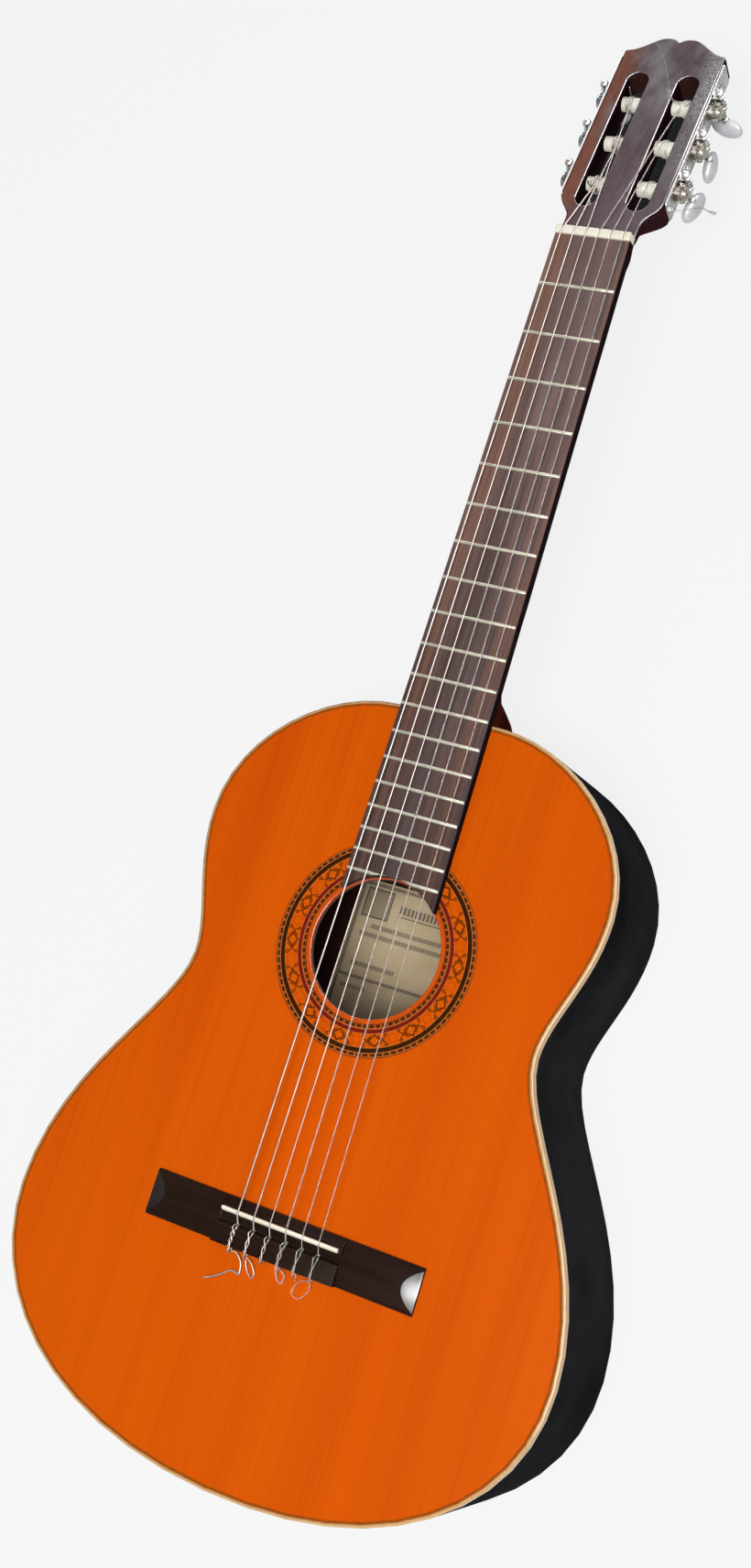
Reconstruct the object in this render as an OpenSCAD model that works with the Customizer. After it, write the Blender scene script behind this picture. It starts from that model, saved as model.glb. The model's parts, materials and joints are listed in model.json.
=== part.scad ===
// Classical guitar lying on its back: a hollow wooden body, a neck with a slotted head,
// six geared tuning machines and six strings.
// +X points to the treble side, +Y along the neck to the head, +Z out of the soundboard.
// The origin is on the back face, under the centre of the soundhole.

/* [Scale] */
// String length from the nut to the uncorrected saddle line
scale_length = 650; // [610:1:670]
// Extra string length at the saddle
compensation = 0; // [0:0.5:4]
// Number of frets
fret_count = 19; // [14:1:19]
// Fret at which the neck meets the body
joint_fret = 12; // [12:1:13]

/* [Body] */
// Length of the body from the neck joint to the tail
body_length = 480; // [460:1:500]
// Overall depth of the body from the back face to the top face
body_depth = 100; // [85:1:110]
// Width of the lower bout
lower_bout = 370; // [345:1:385]
// Distance of the widest line of the lower bout from the tail
lower_from_tail = 125; // [110:1:140]
// Width of the waist
waist_width = 238; // [220:1:250]
// Distance of the waist from the tail
waist_from_tail = 295; // [280:1:310]
// Width of the upper bout
upper_bout = 278; // [262:1:292]
// Distance of the widest line of the upper bout from the neck joint
upper_from_joint = 95; // [85:1:105]
// Width of the flat where the heel meets the body
joint_flat = 70; // [66:1:90]
// Distance of the soundhole centre from the neck joint
hole_from_joint = 151; // [146:1:156]

/* [Outline curves] */
// Fullness of the tail curve
tail_fullness = 0.64; // [0.5:0.01:0.75]
// Fullness of the lower bout towards the tail
lower_fullness_tail = 0.55; // [0.4:0.01:0.65]
// Fullness of the lower bout towards the waist
lower_fullness_waist = 0.46; // [0.35:0.01:0.55]
// Fullness of the waist towards the lower bout
waist_fullness_lower = 0.21; // [0.15:0.01:0.35]
// Fullness of the waist towards the upper bout
waist_fullness_upper = 0.28; // [0.2:0.01:0.4]
// Fullness of the upper bout towards the waist
upper_fullness_waist = 0.43; // [0.35:0.01:0.5]
// Fullness of the upper bout towards the shoulder
upper_fullness_joint = 0.55; // [0.45:0.01:0.62]
// Fullness of the shoulder curve
shoulder_fullness = 0.48; // [0.35:0.01:0.6]

/* [Plates and edging] */
// Thickness of the soundboard
top_t = 2.5; // [2:0.1:3.5]
// Thickness of the back
back_t = 2.5; // [2:0.1:3.5]
// Thickness of the sides and of the binding on their edges
rim_t = 2; // [1.5:0.1:3]
// Height of the binding
binding_h = 4; // [3:0.5:8]
// Width of the purfling inlaid beside the top binding
purfling_w = 1.6; // [1:0.1:3]
// Width of the linings
lining_w = 6; // [4:0.5:8]
// Height of the linings
lining_h = 14; // [10:1:18]

/* [Soundhole and label] */
// Diameter of the soundhole
hole_d = 86; // [80:1:88]
// Outer diameter of the rosette
rosette_d = 133; // [120:1:140]
// Inner diameter of the rosette
rosette_inner_d = 92; // [90:1:100]
// Depth of the rosette inlay
rosette_t = 1; // [0.6:0.1:1.5]
// Radial width of the patch glued under the soundhole edge
hole_patch_w = 9; // [5:1:12]
// Thickness of the patch under the soundhole edge
hole_patch_t = 2; // [1:0.5:3]
// Width of the paper label
label_w = 120; // [80:1:130]
// Height of the paper label along the neck direction
label_h = 94; // [60:1:100]
// Thickness of the label
label_t = 0.3; // [0.2:0.1:0.5]
// Sideways place of the label centre
label_x = -7; // [-15:1:15]

/* [Bracing] */
// Width of the harmonic bars and back braces
bar_w = 8; // [6:0.5:10]
// Height of the harmonic bars and back braces
bar_h = 15; // [10:1:18]
// Gap between the soundhole edge and the near face of each harmonic bar
bar_from_hole = 15; // [13:1:20]
// Number of fan braces
fan_count = 7; // [3:2:7]
// Width of a fan brace
fan_w = 5; // [4:0.5:7]
// Height of a fan brace
fan_h = 6; // [4:0.5:8]
// Spacing of the fan braces at the soundhole end
fan_pitch_head = 17; // [14:1:20]
// Spacing of the fan braces at the tail end
fan_pitch_tail = 29; // [24:1:32]
// Distance of the fan brace ends from the tail
fan_from_tail = 62; // [50:1:80]
// Width of the blocks at the neck and the tail
block_w = 64; // [50:1:66]
// Length of the neck block
neck_block_l = 42; // [30:1:50]
// Length of the tail block
tail_block_l = 18; // [12:1:25]
// Distance of the upper back brace from the soundhole centre
back_brace_upper = 75; // [65:1:85]
// Distance of the middle back brace from the soundhole centre
back_brace_middle = 85; // [65:1:95]
// Distance of the lower back brace from the soundhole centre
back_brace_lower = 205; // [180:1:230]
// Width of the strip over the centre joint of the back
strip_w = 14; // [10:1:20]
// Thickness of the strip over the centre joint of the back
strip_t = 2.5; // [1.5:0.5:4]

/* [Neck and fingerboard] */
// Width of the neck at the nut
nut_width = 52; // [48:0.5:54]
// Width of the neck at the body joint
joint_width = 61; // [58:0.5:64]
// Rise of the neck from the body joint to the nut
neck_rise = 5; // [0:0.5:6]
// Depth of the neck behind the nut
neck_depth_nut = 15; // [13:0.5:17]
// Depth of the neck at the foot of the heel
neck_depth_heel = 17; // [15:0.5:20]
// Length of the heel curve
heel_length = 78; // [65:1:90]
// Depth of the heel curve beyond the back, before the cap cuts it
heel_over = 10; // [4:1:25]
// Thickness of the heel cap
heel_cap_t = 3; // [2:0.5:5]
// Length of the square blend into the head
blend_length = 22; // [15:1:30]
// Thickness of the fingerboard
board_t = 7.5; // [5.5:0.1:8]
// Length of the fingerboard beyond the last fret
board_past_fret = 13; // [10:0.5:16]
// Gap between the soundhole edge and the scalloped fingerboard end
scallop_margin = 0.7; // [0.5:0.1:3]
// Width of a fret crown
fret_w = 2.3; // [1.8:0.1:3]
// Height of a fret crown
fret_h = 1.1; // [0.8:0.1:1.5]
// Width of a fret tang
tang_w = 0.6; // [0.4:0.1:0.8]
// Depth of a fret tang
tang_h = 1.6; // [1:0.1:2.5]
// Distance of the fret ends from the fingerboard edge
fret_inset = 0.5; // [0.2:0.1:1]
// Thickness of the nut
nut_t = 5; // [4:0.5:7]
// Height of the strings over the first frets at the nut
nut_lift = 0.5; // [0.3:0.1:1]
// Depth of the string slots in the nut
nut_slot = 0.9; // [0.6:0.1:1.5]

/* [Head] */
// Angle of the head below the soundboard plane
head_angle = 12.2; // [10:0.1:15]
// Width of the head
head_w = 72; // [70:1:76]
// Thickness of the head without its veneer
head_t = 16; // [15:0.5:18]
// Thickness of the face veneer
veneer_t = 2.2; // [1:0.1:3]
// Distance from the nut to the start of the flare
flare_start = 8; // [4:1:12]
// Distance from the nut to the full width
flare_end = 30; // [24:1:31]
// Distance from the nut to the top corners
corner_y = 155; // [152:1:165]
// Distance from the nut to the top of the crest
crest_y = 168.5; // [166:0.5:180]
// Depth of the notch between the two humps of the crest
notch_depth = 3; // [1:0.5:5]
// Distance of each hump from the centre line
hump_x = 8.5; // [6:0.5:12]
// Distance of the slot centre lines from the centre line
slot_x = 18; // [17:0.5:20]
// Width of the slots
slot_w = 15; // [13:0.5:16]
// Distance from the nut to the near end of the slots
slot_start = 20.5; // [16:0.5:26]
// Distance from the nut to the far end of the slots
slot_end = 136.5; // [132:0.5:142]

/* [Tuning machines] */
// Distance from the nut to the first roller
first_roller = 46.5; // [44:0.5:49]
// Spacing of the rollers
roller_pitch = 35; // [34:0.5:36]
// Depth of the roller axes below the wood face of the head
roller_depth = 8; // [7:0.5:9]
// Diameter of the rollers
roller_d = 10; // [8:0.5:10.5]
// Depth of the roller sockets in the middle rib
socket_depth = 7; // [4:0.5:8]
// Diameter of the roller journals in the plates
journal_d = 6; // [5:0.5:7]
// Radial running clearance of rollers and worm shafts
running_gap = 0.08; // [0.05:0.01:0.1]
// End play of rollers and worms
end_gap = 0.2; // [0.1:0.05:0.3]
// Thickness of the side plates
plate_t = 1.2; // [1:0.1:1.6]
// Height of the side plates
plate_h = 16.7; // [15.5:0.1:18]
// Distance of the middle line of the side plates in front of the roller axes
plate_rise = 0.85; // [0.5:0.05:1.2]
// Length of the side plates beyond their last screws
plate_past_screw = 13.5; // [8:0.5:15]
// Radius of the corners of the side plates
plate_corner = 2.5; // [1:0.5:4]
// Height of the gear above its plate
gear_standoff = 2.6; // [2.4:0.1:3]
// Face width of the gear
gear_t = 2.8; // [2.4:0.1:3]
// Number of gear teeth, turns of the button for one turn of the roller
gear_teeth = 14; // [12:1:16]
// Pitch radius of the gear
gear_r = 5.9; // [5.5:0.1:6.2]
// Height of the teeth above the pitch circle, and of the worm thread
tooth_h = 0.55; // [0.45:0.05:0.6]
// Pitch radius of the worm
worm_r = 3.1; // [2.9:0.1:3.3]
// Length of the worm between its bearings
worm_l = 8.5; // [8:0.5:10]
// Diameter of the worm shaft
shaft_d = 3; // [2.5:0.25:3.5]
// Thickness of the worm bearings
bearing_t = 1.6; // [1.2:0.1:2]
// Radius of the ball on the front end of the worm
ball_r = 3; // [2.5:0.1:3.4]
// Depth of the button centre below the roller axis
button_drop = 24; // [22:0.5:28]
// Length of a button across its shaft
button_l = 24; // [20:0.5:26]
// Width of a button along its shaft
button_w = 17; // [14:0.5:18]
// Thickness of a button
button_t = 8.5; // [7:0.5:10]
// Diameter of the plate screws
screw_d = 2.4; // [2:0.1:3]
// Length of the plate screws in the wood
screw_l = 9; // [6:0.5:10]
// Diameter of the plate screw heads
screw_head_d = 5; // [4:0.5:6]

/* [Bridge and strings] */
// Length of the bridge
bridge_l = 185; // [170:1:200]
// Width of the bridge
bridge_w = 28; // [26:0.5:32]
// Distance of the saddle line from the front edge of the bridge
saddle_from_front = 7.5; // [7:0.1:11]
// Length of the raised middle of the bridge
block_l = 84; // [82:1:92]
// Height of the raised middle of the bridge
block_h = 8.2; // [7.8:0.1:9]
// Height of the domed wings of the bridge along their middle
wing_h = 4.6; // [4:0.1:5]
// Height of the wings along their edges
wing_edge_h = 1.8; // [1.5:0.1:2.2]
// Height of the wings at their ends
wing_end_h = 2.5; // [2.3:0.1:3]
// Length of the slope at the end of a wing
wing_slope_l = 10; // [6:0.5:14]
// Distance of the tie block from the saddle line
tie_from_saddle = 8; // [7.5:0.1:9]
// Height of the trough in front of the tie block
trough_h = 4; // [3:0.1:4.2]
// Height of the string holes in the tie block
tie_hole_h = 5.3; // [5.2:0.1:5.6]
// Diameter of the string holes in the tie block
tie_hole_d = 2; // [1.8:0.1:2.2]
// Length of the saddle
saddle_l = 80; // [74:1:81]
// Thickness of the saddle
saddle_t = 2.8; // [2.2:0.1:3]
// Height of the saddle above the soundboard
saddle_h = 10.8; // [10:0.1:12.5]
// Depth of the saddle slot
saddle_slot = 4; // [3:0.1:5]
// Spread of the strings at the saddle
saddle_spread = 56; // [54:0.5:60]
// Spread of the strings at the nut
nut_spread = 43; // [40:0.5:44]
// Turns of a string round its roller
wind_turns = 3; // [2:1:3]
// Gap between the turns of a string
wind_space = 0.5; // [0.45:0.05:0.7]
// Gap between a string and what it lies on
string_gap = 0.2; // [0.15:0.05:0.3]

/* [Hidden] */
$fn = 48;

// Colours
spruce = [0.78, 0.36, 0.09];
rosewood = [0.16, 0.09, 0.08];
mahogany = [0.36, 0.15, 0.09];
pale_wood = [0.82, 0.66, 0.42];
ebony = [0.30, 0.20, 0.18];
ivory = [0.93, 0.89, 0.76];
nickel = [0.78, 0.77, 0.74];
pearl = [0.85, 0.85, 0.85];
paper = [0.80, 0.73, 0.56];

// Stations along the guitar
outline_steps = 12;
joint_y = hole_from_joint;
tail_y = joint_y - body_length;
lower_y = tail_y + lower_from_tail;
waist_y = tail_y + waist_from_tail;
upper_y = joint_y - upper_from_joint;
nut_y = joint_y + scale_length * (1 - pow(2, -joint_fret / 12));
neck_end_y = nut_y + nut_t;
saddle_y = nut_y - scale_length - compensation;
neck_slope = neck_rise / (nut_y - joint_y);
neck_angle = atan(neck_slope);
hole_r = hole_d / 2;
scallop_r = hole_r + scallop_margin;
board_end_y = fret_y(fret_count) - board_past_fret;
inner_z = body_depth - top_t;
lining_in = rim_t + lining_w;
string_d = [0.71, 0.82, 1.02, 0.75, 0.9, 1.1];

// Half of the body outline as four curves from the tail to the flat at the neck joint
curves = [
    [[0, tail_y], [tail_fullness * lower_bout / 2, tail_y],
        [lower_bout / 2, lower_y - lower_fullness_tail * lower_from_tail], [lower_bout / 2, lower_y]],
    [[lower_bout / 2, lower_y], [lower_bout / 2, lower_y + lower_fullness_waist * (waist_y - lower_y)],
        [waist_width / 2, waist_y - waist_fullness_lower * (waist_y - lower_y)], [waist_width / 2, waist_y]],
    [[waist_width / 2, waist_y], [waist_width / 2, waist_y + waist_fullness_upper * (upper_y - waist_y)],
        [upper_bout / 2, upper_y - upper_fullness_waist * (upper_y - waist_y)], [upper_bout / 2, upper_y]],
    [[upper_bout / 2, upper_y], [upper_bout / 2, upper_y + upper_fullness_joint * upper_from_joint],
        [joint_flat / 2 + shoulder_fullness * (upper_bout - joint_flat) / 2, joint_y],
        [joint_flat / 2, joint_y]]
];

function bezier(c, t) = pow(1 - t, 3) * c[0] + 3 * pow(1 - t, 2) * t * c[1]
    + 3 * (1 - t) * t * t * c[2] + pow(t, 3) * c[3];
function bezier_dir(c, t) = pow(1 - t, 2) * (c[1] - c[0]) + 2 * (1 - t) * t * (c[2] - c[1])
    + t * t * (c[3] - c[2]);
function left_of(v) = [-v[1], v[0]] / norm(v);
function unit(v) = v / norm(v);
function reversed(v) = [for (i = [len(v) - 1:-1:0]) v[i]];
function mirrored(v) = [for (p = v) [-p[0], p[1]]];

// Right half of the body outline, moved inwards by d
function half_outline(d) = concat(
    [for (c = curves) for (k = [0:outline_steps - 1]) let (t = k / outline_steps)
        bezier(c, t) + d * left_of(bezier_dir(c, t))],
    [[joint_flat / 2, joint_y - d], [0, joint_y - d]]);
function outline(d) = let (h = half_outline(d), n = len(h))
    concat(h, [for (i = [n - 2:-1:1]) [-h[i][0], h[i][1]]]);

// Heights and widths along the neck
function fret_y(n) = nut_y - scale_length * (1 - pow(2, -n / 12));
function neck_z(y) = body_depth + (y - joint_y) * neck_slope;
function board_z(y) = neck_z(y) + board_t;
function neck_half(y) = (nut_width + (joint_width - nut_width) * (nut_y - y) / (nut_y - joint_y)) / 2;

// Machines 1 to 3 stand on the treble side and 4 to 6 on the bass side
function side_of(i) = i <= 3 ? 1 : -1;
function roller_y(i) = first_roller + roller_pitch * (i <= 3 ? i - 1 : 6 - i);
function string_r(i) = string_d[i - 1] / 2;
function string_x(i, spread) = spread * (3.5 - i) / 5;

// Places in the tilted head, measured from the end of the neck
head_o = [neck_end_y, neck_z(neck_end_y)];
function from_head(p) = [p[0], head_o[0] + p[1] * cos(head_angle) + p[2] * sin(head_angle),
    head_o[1] - p[1] * sin(head_angle) + p[2] * cos(head_angle)];
function to_head(y, z) = [(y - head_o[0]) * cos(head_angle) - (z - head_o[1]) * sin(head_angle),
    (y - head_o[0]) * sin(head_angle) + (z - head_o[1]) * cos(head_angle)];
module head_frame() {
    translate([0, head_o[0], head_o[1]]) rotate([-head_angle, 0, 0]) children();
}

// Extrudes a shape drawn in the Y-Z plane across the guitar
module across(w) {
    rotate([90, 0, 90]) linear_extrude(w, center = true) children();
}

// Closed skin through rings of points, each ring turning right-handed about the way ahead
module skin(rings) {
    n = len(rings);
    m = len(rings[0]);
    walls = [for (i = [0:n - 2]) for (k = [0:m - 1]) let (a = i * m + k, b = i * m + (k + 1) % m)
        each [[a, a + m, b + m], [a, b + m, b]]];
    caps = [[for (k = [0:m - 1]) k], [for (k = [m - 1:-1:0]) (n - 1) * m + k]];
    polyhedron([for (r = rings) each r], concat(walls, caps));
}

// Body

module plate(d, z, t) {
    translate([0, 0, z]) linear_extrude(t) polygon(outline(d));
}

module rim_ring(d_out, d_in, z, t) {
    translate([0, 0, z]) linear_extrude(t) difference() {
        polygon(outline(d_out));
        polygon(outline(d_in));
    }
}

module soundboard() {
    color(spruce) difference() {
        plate(rim_t + purfling_w, inner_z, top_t);
        translate([0, 0, inner_z - 1]) cylinder(h = top_t + 2, d = hole_d);
        translate([0, 0, body_depth - rosette_t]) rosette_ring(rosette_t + 1);
    }
}

module rosette_ring(t) {
    difference() {
        cylinder(h = t, d = rosette_d);
        translate([0, 0, -1]) cylinder(h = t + 2, d = rosette_inner_d);
    }
}

module rosette() {
    color([0.45, 0.14, 0.06]) translate([0, 0, body_depth - rosette_t]) rosette_ring(rosette_t);
}

module back() {
    color(rosewood) plate(rim_t, 0, back_t);
}

module side_half() {
    translate([0, 0, binding_h]) linear_extrude(body_depth - 2 * binding_h)
        polygon(concat(half_outline(0), reversed(half_outline(rim_t))));
}

module side_treble() {
    color(rosewood) side_half();
}

module side_bass() {
    color(rosewood) mirror([1, 0, 0]) side_half();
}

module top_binding() {
    color(pale_wood) rim_ring(0, rim_t, body_depth - binding_h, binding_h);
}

module back_binding() {
    color(rosewood) rim_ring(0, rim_t, 0, binding_h);
}

module top_purfling() {
    color(mahogany) rim_ring(rim_t, rim_t + purfling_w, inner_z, top_t);
}

module neck_block_area() {
    translate([-block_w / 2, joint_y - rim_t - neck_block_l]) square([block_w, neck_block_l + rim_t]);
}

module tail_block_area() {
    translate([-block_w / 2, tail_y]) square([block_w, rim_t + tail_block_l]);
}

module block_solid() {
    translate([0, 0, back_t]) linear_extrude(inner_z - back_t) intersection() {
        polygon(outline(rim_t));
        children();
    }
}

module neck_block() {
    color(mahogany) block_solid() neck_block_area();
}

module tail_block() {
    color(mahogany) block_solid() tail_block_area();
}

module lining(z) {
    translate([0, 0, z]) linear_extrude(lining_h) difference() {
        polygon(outline(rim_t));
        polygon(outline(lining_in));
        neck_block_area();
        tail_block_area();
    }
}

module top_lining() {
    color(pale_wood) lining(inner_z - lining_h);
}

module back_lining() {
    color(pale_wood) lining(back_t);
}

// Bar across the body between the linings, its centre line at y
module cross_bar(y, z) {
    translate([0, 0, z]) linear_extrude(bar_h) intersection() {
        polygon(outline(lining_in));
        translate([-lower_bout, y - bar_w / 2]) square([2 * lower_bout, bar_w]);
    }
}

bar_y = hole_r + bar_from_hole + bar_w / 2;

module harmonic_bars() {
    color(spruce) for (s = [-1, 1]) cross_bar(s * bar_y, inner_z - bar_h);
}

module soundhole_patch() {
    color(spruce) translate([0, 0, inner_z - hole_patch_t]) difference() {
        cylinder(h = hole_patch_t, r = hole_r + hole_patch_w);
        translate([0, 0, -1]) cylinder(h = hole_patch_t + 2, r = hole_r);
    }
}

// Fan brace number k, its foot tapered at both ends
module fan_brace(k) {
    y0 = tail_y + fan_from_tail;
    y1 = -bar_y - bar_w / 2;
    lean = atan2(k * (fan_pitch_tail - fan_pitch_head), y1 - y0);
    run = (y1 - y0) / cos(lean) - fan_w;
    taper = 3 * fan_h;
    translate([k * fan_pitch_tail, y0, inner_z]) rotate([0, 0, lean]) across(fan_w)
        polygon([[0, 0], [run, 0], [run, -fan_h / 2], [run - taper, -fan_h], [taper, -fan_h],
            [0, -fan_h / 3]]);
}

module fan_braces() {
    half = (fan_count - 1) / 2;
    color(spruce) for (k = [-half:half]) fan_brace(k);
}

module back_braces() {
    color(spruce) for (y = [back_brace_upper, -back_brace_middle, -back_brace_lower]) cross_bar(y, back_t);
}

module back_strip() {
    spans = [
        [back_brace_upper + bar_w / 2, joint_y - rim_t - neck_block_l],
        [-back_brace_lower + bar_w / 2, -back_brace_middle - bar_w / 2],
        [tail_y + rim_t + tail_block_l, -back_brace_lower - bar_w / 2]
    ];
    color(pale_wood) for (s = spans)
        translate([-strip_w / 2, s[0], back_t]) cube([strip_w, s[1] - s[0], strip_t]);
}

module label() {
    color(paper) translate([label_x - label_w / 2, -label_h / 2, back_t]) cube([label_w, label_h, label_t]);
}

// Neck, head and fingerboard

section_points = 16;
heel_steps = 14;
shaft_steps = 6;
blend_steps = 5;
round_power = 1.7;
square_power = 6;
heel_hollow = 0.7;
hollow_share = 0.8;
heel_depth = body_depth + heel_over;
heel_reach = 0.5;
neck_reach = 0.78;
heel_curve = [[0, heel_depth], [heel_reach * heel_length, heel_depth],
    [(1 - neck_reach) * heel_length, neck_depth_heel], [heel_length, neck_depth_heel]];
blend_y = neck_end_y - blend_length;
head_back = head_t / cos(head_angle);

// Roundness of the heel's section: its flanks are hollowed before they run out into the shaft
function heel_power(y) = round_power - heel_hollow * sin(180 * min(1, y / (hollow_share * heel_length)));

// Cross-section of the neck: flat on top, a rounded belly of depth h below
function neck_ring(y, h, power) = [for (k = [0:section_points])
    let (a = 180 * k / section_points, e = 2 / power)
    [neck_half(y) * sign(cos(a)) * pow(abs(cos(a)), e), y, neck_z(y) - h * pow(abs(sin(a)), e)]];

function neck_rings() = concat(
    [for (k = [0:heel_steps]) let (p = bezier(heel_curve, k / heel_steps))
        neck_ring(joint_y + p[0], p[1], heel_power(p[0]))],
    [for (k = [1:shaft_steps]) let (t = k / shaft_steps)
        neck_ring(joint_y + heel_length + t * (blend_y - joint_y - heel_length),
            neck_depth_heel + t * (neck_depth_nut - neck_depth_heel), round_power)],
    [for (k = [1:blend_steps]) let (t = k / blend_steps, s = t * t * (3 - 2 * t))
        neck_ring(blend_y + t * blend_length, neck_depth_nut + s * (head_back - neck_depth_nut),
            round_power + s * (square_power - round_power))]);

module neck() {
    color(mahogany) difference() {
        skin(neck_rings());
        translate([-joint_width, joint_y - 1, -body_depth + heel_cap_t])
            cube([2 * joint_width, heel_length, body_depth]);
    }
}

module heel_cap() {
    color(ebony) intersection() {
        skin(neck_rings());
        translate([-joint_width, joint_y - 1, 0]) cube([2 * joint_width, heel_length, heel_cap_t]);
    }
}

// Right half of the head outline: flare, straight side, concave shoulder and hump
head_base = neck_half(neck_end_y);
head_start = -head_t;
flare_curve = [[head_base, flare_start], [head_base, (flare_start + flare_end) / 2],
    [head_w / 2, (flare_start + flare_end) / 2], [head_w / 2, flare_end]];
shoulder_run = head_w / 2 - hump_x;
shoulder_rise = crest_y - corner_y;
shoulder_curve = [[head_w / 2, corner_y], [head_w / 2 - shoulder_run / 2, corner_y + shoulder_rise / 5],
    [hump_x + shoulder_run / 3, crest_y], [hump_x, crest_y]];
hump_curve = [[hump_x, crest_y], [hump_x / 2, crest_y], [hump_x / 4, crest_y - notch_depth / 2],
    [0, crest_y - notch_depth]];
curve_steps = 8;
function head_half() = concat([[head_base, head_start]],
    [for (c = [flare_curve, shoulder_curve]) for (k = [0:curve_steps]) bezier(c, k / curve_steps)],
    [for (k = [1:curve_steps]) bezier(hump_curve, k / curve_steps)]);

module head_outline() {
    h = head_half();
    n = len(h);
    difference() {
        polygon(concat(h, mirrored(reversed([for (i = [0:n - 2]) h[i]]))));
        for (s = [-1, 1]) translate([s * slot_x, 0]) head_slot();
    }
}

module head_slot() {
    near = slot_start + slot_w / 2;
    far = slot_end - slot_w / 2;
    translate([0, near]) circle(d = slot_w);
    translate([0, far]) circle(d = slot_w);
    translate([-slot_w / 2, near]) square([slot_w, far - near]);
}

// What lies behind the end of the neck is cut away
module past_neck_end() {
    difference() {
        children();
        translate([-head_w, neck_end_y - 2 * body_depth, -body_depth])
            cube([2 * head_w, 2 * body_depth, 4 * body_depth]);
    }
}

module headstock() {
    color(mahogany) difference() {
        past_neck_end() head_frame() translate([0, 0, -head_t]) linear_extrude(head_t) head_outline();
        for (i = [1:6]) at_machine(i) along_x(rib_x - socket_depth)
            cylinder(h = head_w, r = roller_d / 2 + running_gap);
        for (s = [-1, 1]) at_screws(s) along_x(-screw_l) cylinder(h = screw_l, d = screw_d);
    }
}

module head_veneer() {
    color(rosewood) past_neck_end() head_frame() linear_extrude(veneer_t) head_outline();
}

// Side profile of the fingerboard, flat on the soundboard and sloping with the neck
module fingerboard() {
    color(ebony) difference() {
        intersection() {
            across(2 * joint_width) polygon([[board_end_y, body_depth], [joint_y, body_depth],
                [nut_y, neck_z(nut_y)], [nut_y, board_z(nut_y)], [board_end_y, board_z(board_end_y)]]);
            linear_extrude(2 * body_depth) polygon([[neck_half(board_end_y), board_end_y],
                [neck_half(nut_y), nut_y], [-neck_half(nut_y), nut_y],
                [-neck_half(board_end_y), board_end_y]]);
        }
        cylinder(h = 2 * body_depth, r = scallop_r);
        for (n = [1:fret_count]) at_fret(n) across(fret_length(n))
            translate([-tang_w / 2, -tang_h]) square([tang_w, tang_h + 1]);
    }
}

function fret_length(n) = 2 * (neck_half(fret_y(n)) - fret_inset);

module at_fret(n) {
    translate([0, fret_y(n), board_z(fret_y(n))]) rotate([neck_angle, 0, 0]) children();
}

module fret_profile() {
    crown = [for (a = [0:20:180]) [fret_w / 2 * cos(a), fret_h * sin(a)]];
    tang = [[-tang_w / 2, 0], [-tang_w / 2, -tang_h], [tang_w / 2, -tang_h], [tang_w / 2, 0]];
    polygon(concat(crown, tang));
}

module frets() {
    color(nickel) difference() {
        for (n = [1:fret_count]) at_fret(n) across(fret_length(n)) fret_profile();
        cylinder(h = 2 * body_depth, r = scallop_r + fret_inset);
    }
}

nut_base_z = board_z(nut_y) + fret_h + nut_lift;
nut_face = 1.2;
nut_leave_y = nut_y + 2 * nut_face / 3;

// String slot in the nut, level at the front and falling behind it
module nut_slot_profile() {
    fall = 30;
    back_y = neck_end_y + 1;
    polygon([[nut_y - 1, nut_base_z], [nut_leave_y, nut_base_z],
        [back_y, nut_base_z - (back_y - nut_leave_y) * tan(fall)],
        [back_y, nut_base_z + nut_t], [nut_y - 1, nut_base_z + nut_t]]);
}

module nut() {
    back_drop = 0.8;
    color(ivory) difference() {
        across(nut_width) polygon([[nut_y, neck_z(nut_y)], [neck_end_y, neck_z(neck_end_y)],
            [neck_end_y, nut_base_z + nut_slot - back_drop], [nut_y + nut_face, nut_base_z + nut_slot],
            [nut_y, nut_base_z + nut_slot]]);
        for (i = [1:6]) translate([string_x(i, nut_spread), 0, 0])
            across(2 * (string_r(i) + string_gap)) nut_slot_profile();
    }
}

// Bridge

bridge_front = saddle_y + saddle_from_front;
bridge_rear = bridge_front - bridge_w;
tie_front = saddle_y - tie_from_saddle;
saddle_wall = 1.4;
saddle_top = body_depth + saddle_h;

module bridge() {
    ridge_back = saddle_y - saddle_t / 2 - saddle_wall;
    color(ebony) translate([0, 0, body_depth]) difference() {
        union() {
            across(block_l) polygon([[bridge_front, 0], [bridge_front, block_h / 3],
                [saddle_y + saddle_t, block_h], [ridge_back, block_h], [ridge_back, trough_h],
                [tie_front, trough_h], [tie_front, block_h], [bridge_rear, block_h], [bridge_rear, 0]]);
            for (s = [-1, 1]) bridge_wing(s);
        }
        translate([-saddle_l / 2, saddle_y - saddle_t / 2, block_h - saddle_slot])
            cube([saddle_l, saddle_t, saddle_slot + 1]);
        for (i = [1:6]) translate([string_x(i, saddle_spread), bridge_rear - 1, tie_hole_h])
            rotate([-90, 0, 0]) cylinder(h = tie_front - bridge_rear + 2, d = tie_hole_d);
    }
}

// Wing of the bridge, domed across its width, with a sloping cut at its end
module bridge_wing(s) {
    inner = s * (block_l / 2);
    outer = s * bridge_l / 2;
    sag = wing_h - wing_edge_h;
    dome_r = (pow(bridge_w / 2, 2) + pow(sag, 2)) / (2 * sag);
    intersection() {
        translate([0, bridge_front, 0]) rotate([90, 0, 0]) linear_extrude(bridge_w)
            polygon([[inner, 0], [inner, wing_h], [outer - s * wing_slope_l, wing_h],
                [outer, wing_end_h], [outer, 0]]);
        translate([0, bridge_front - bridge_w / 2, wing_h - dome_r]) rotate([0, 90, 0])
            cylinder(h = bridge_l + 2, r = dome_r, center = true);
    }
}

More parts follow.
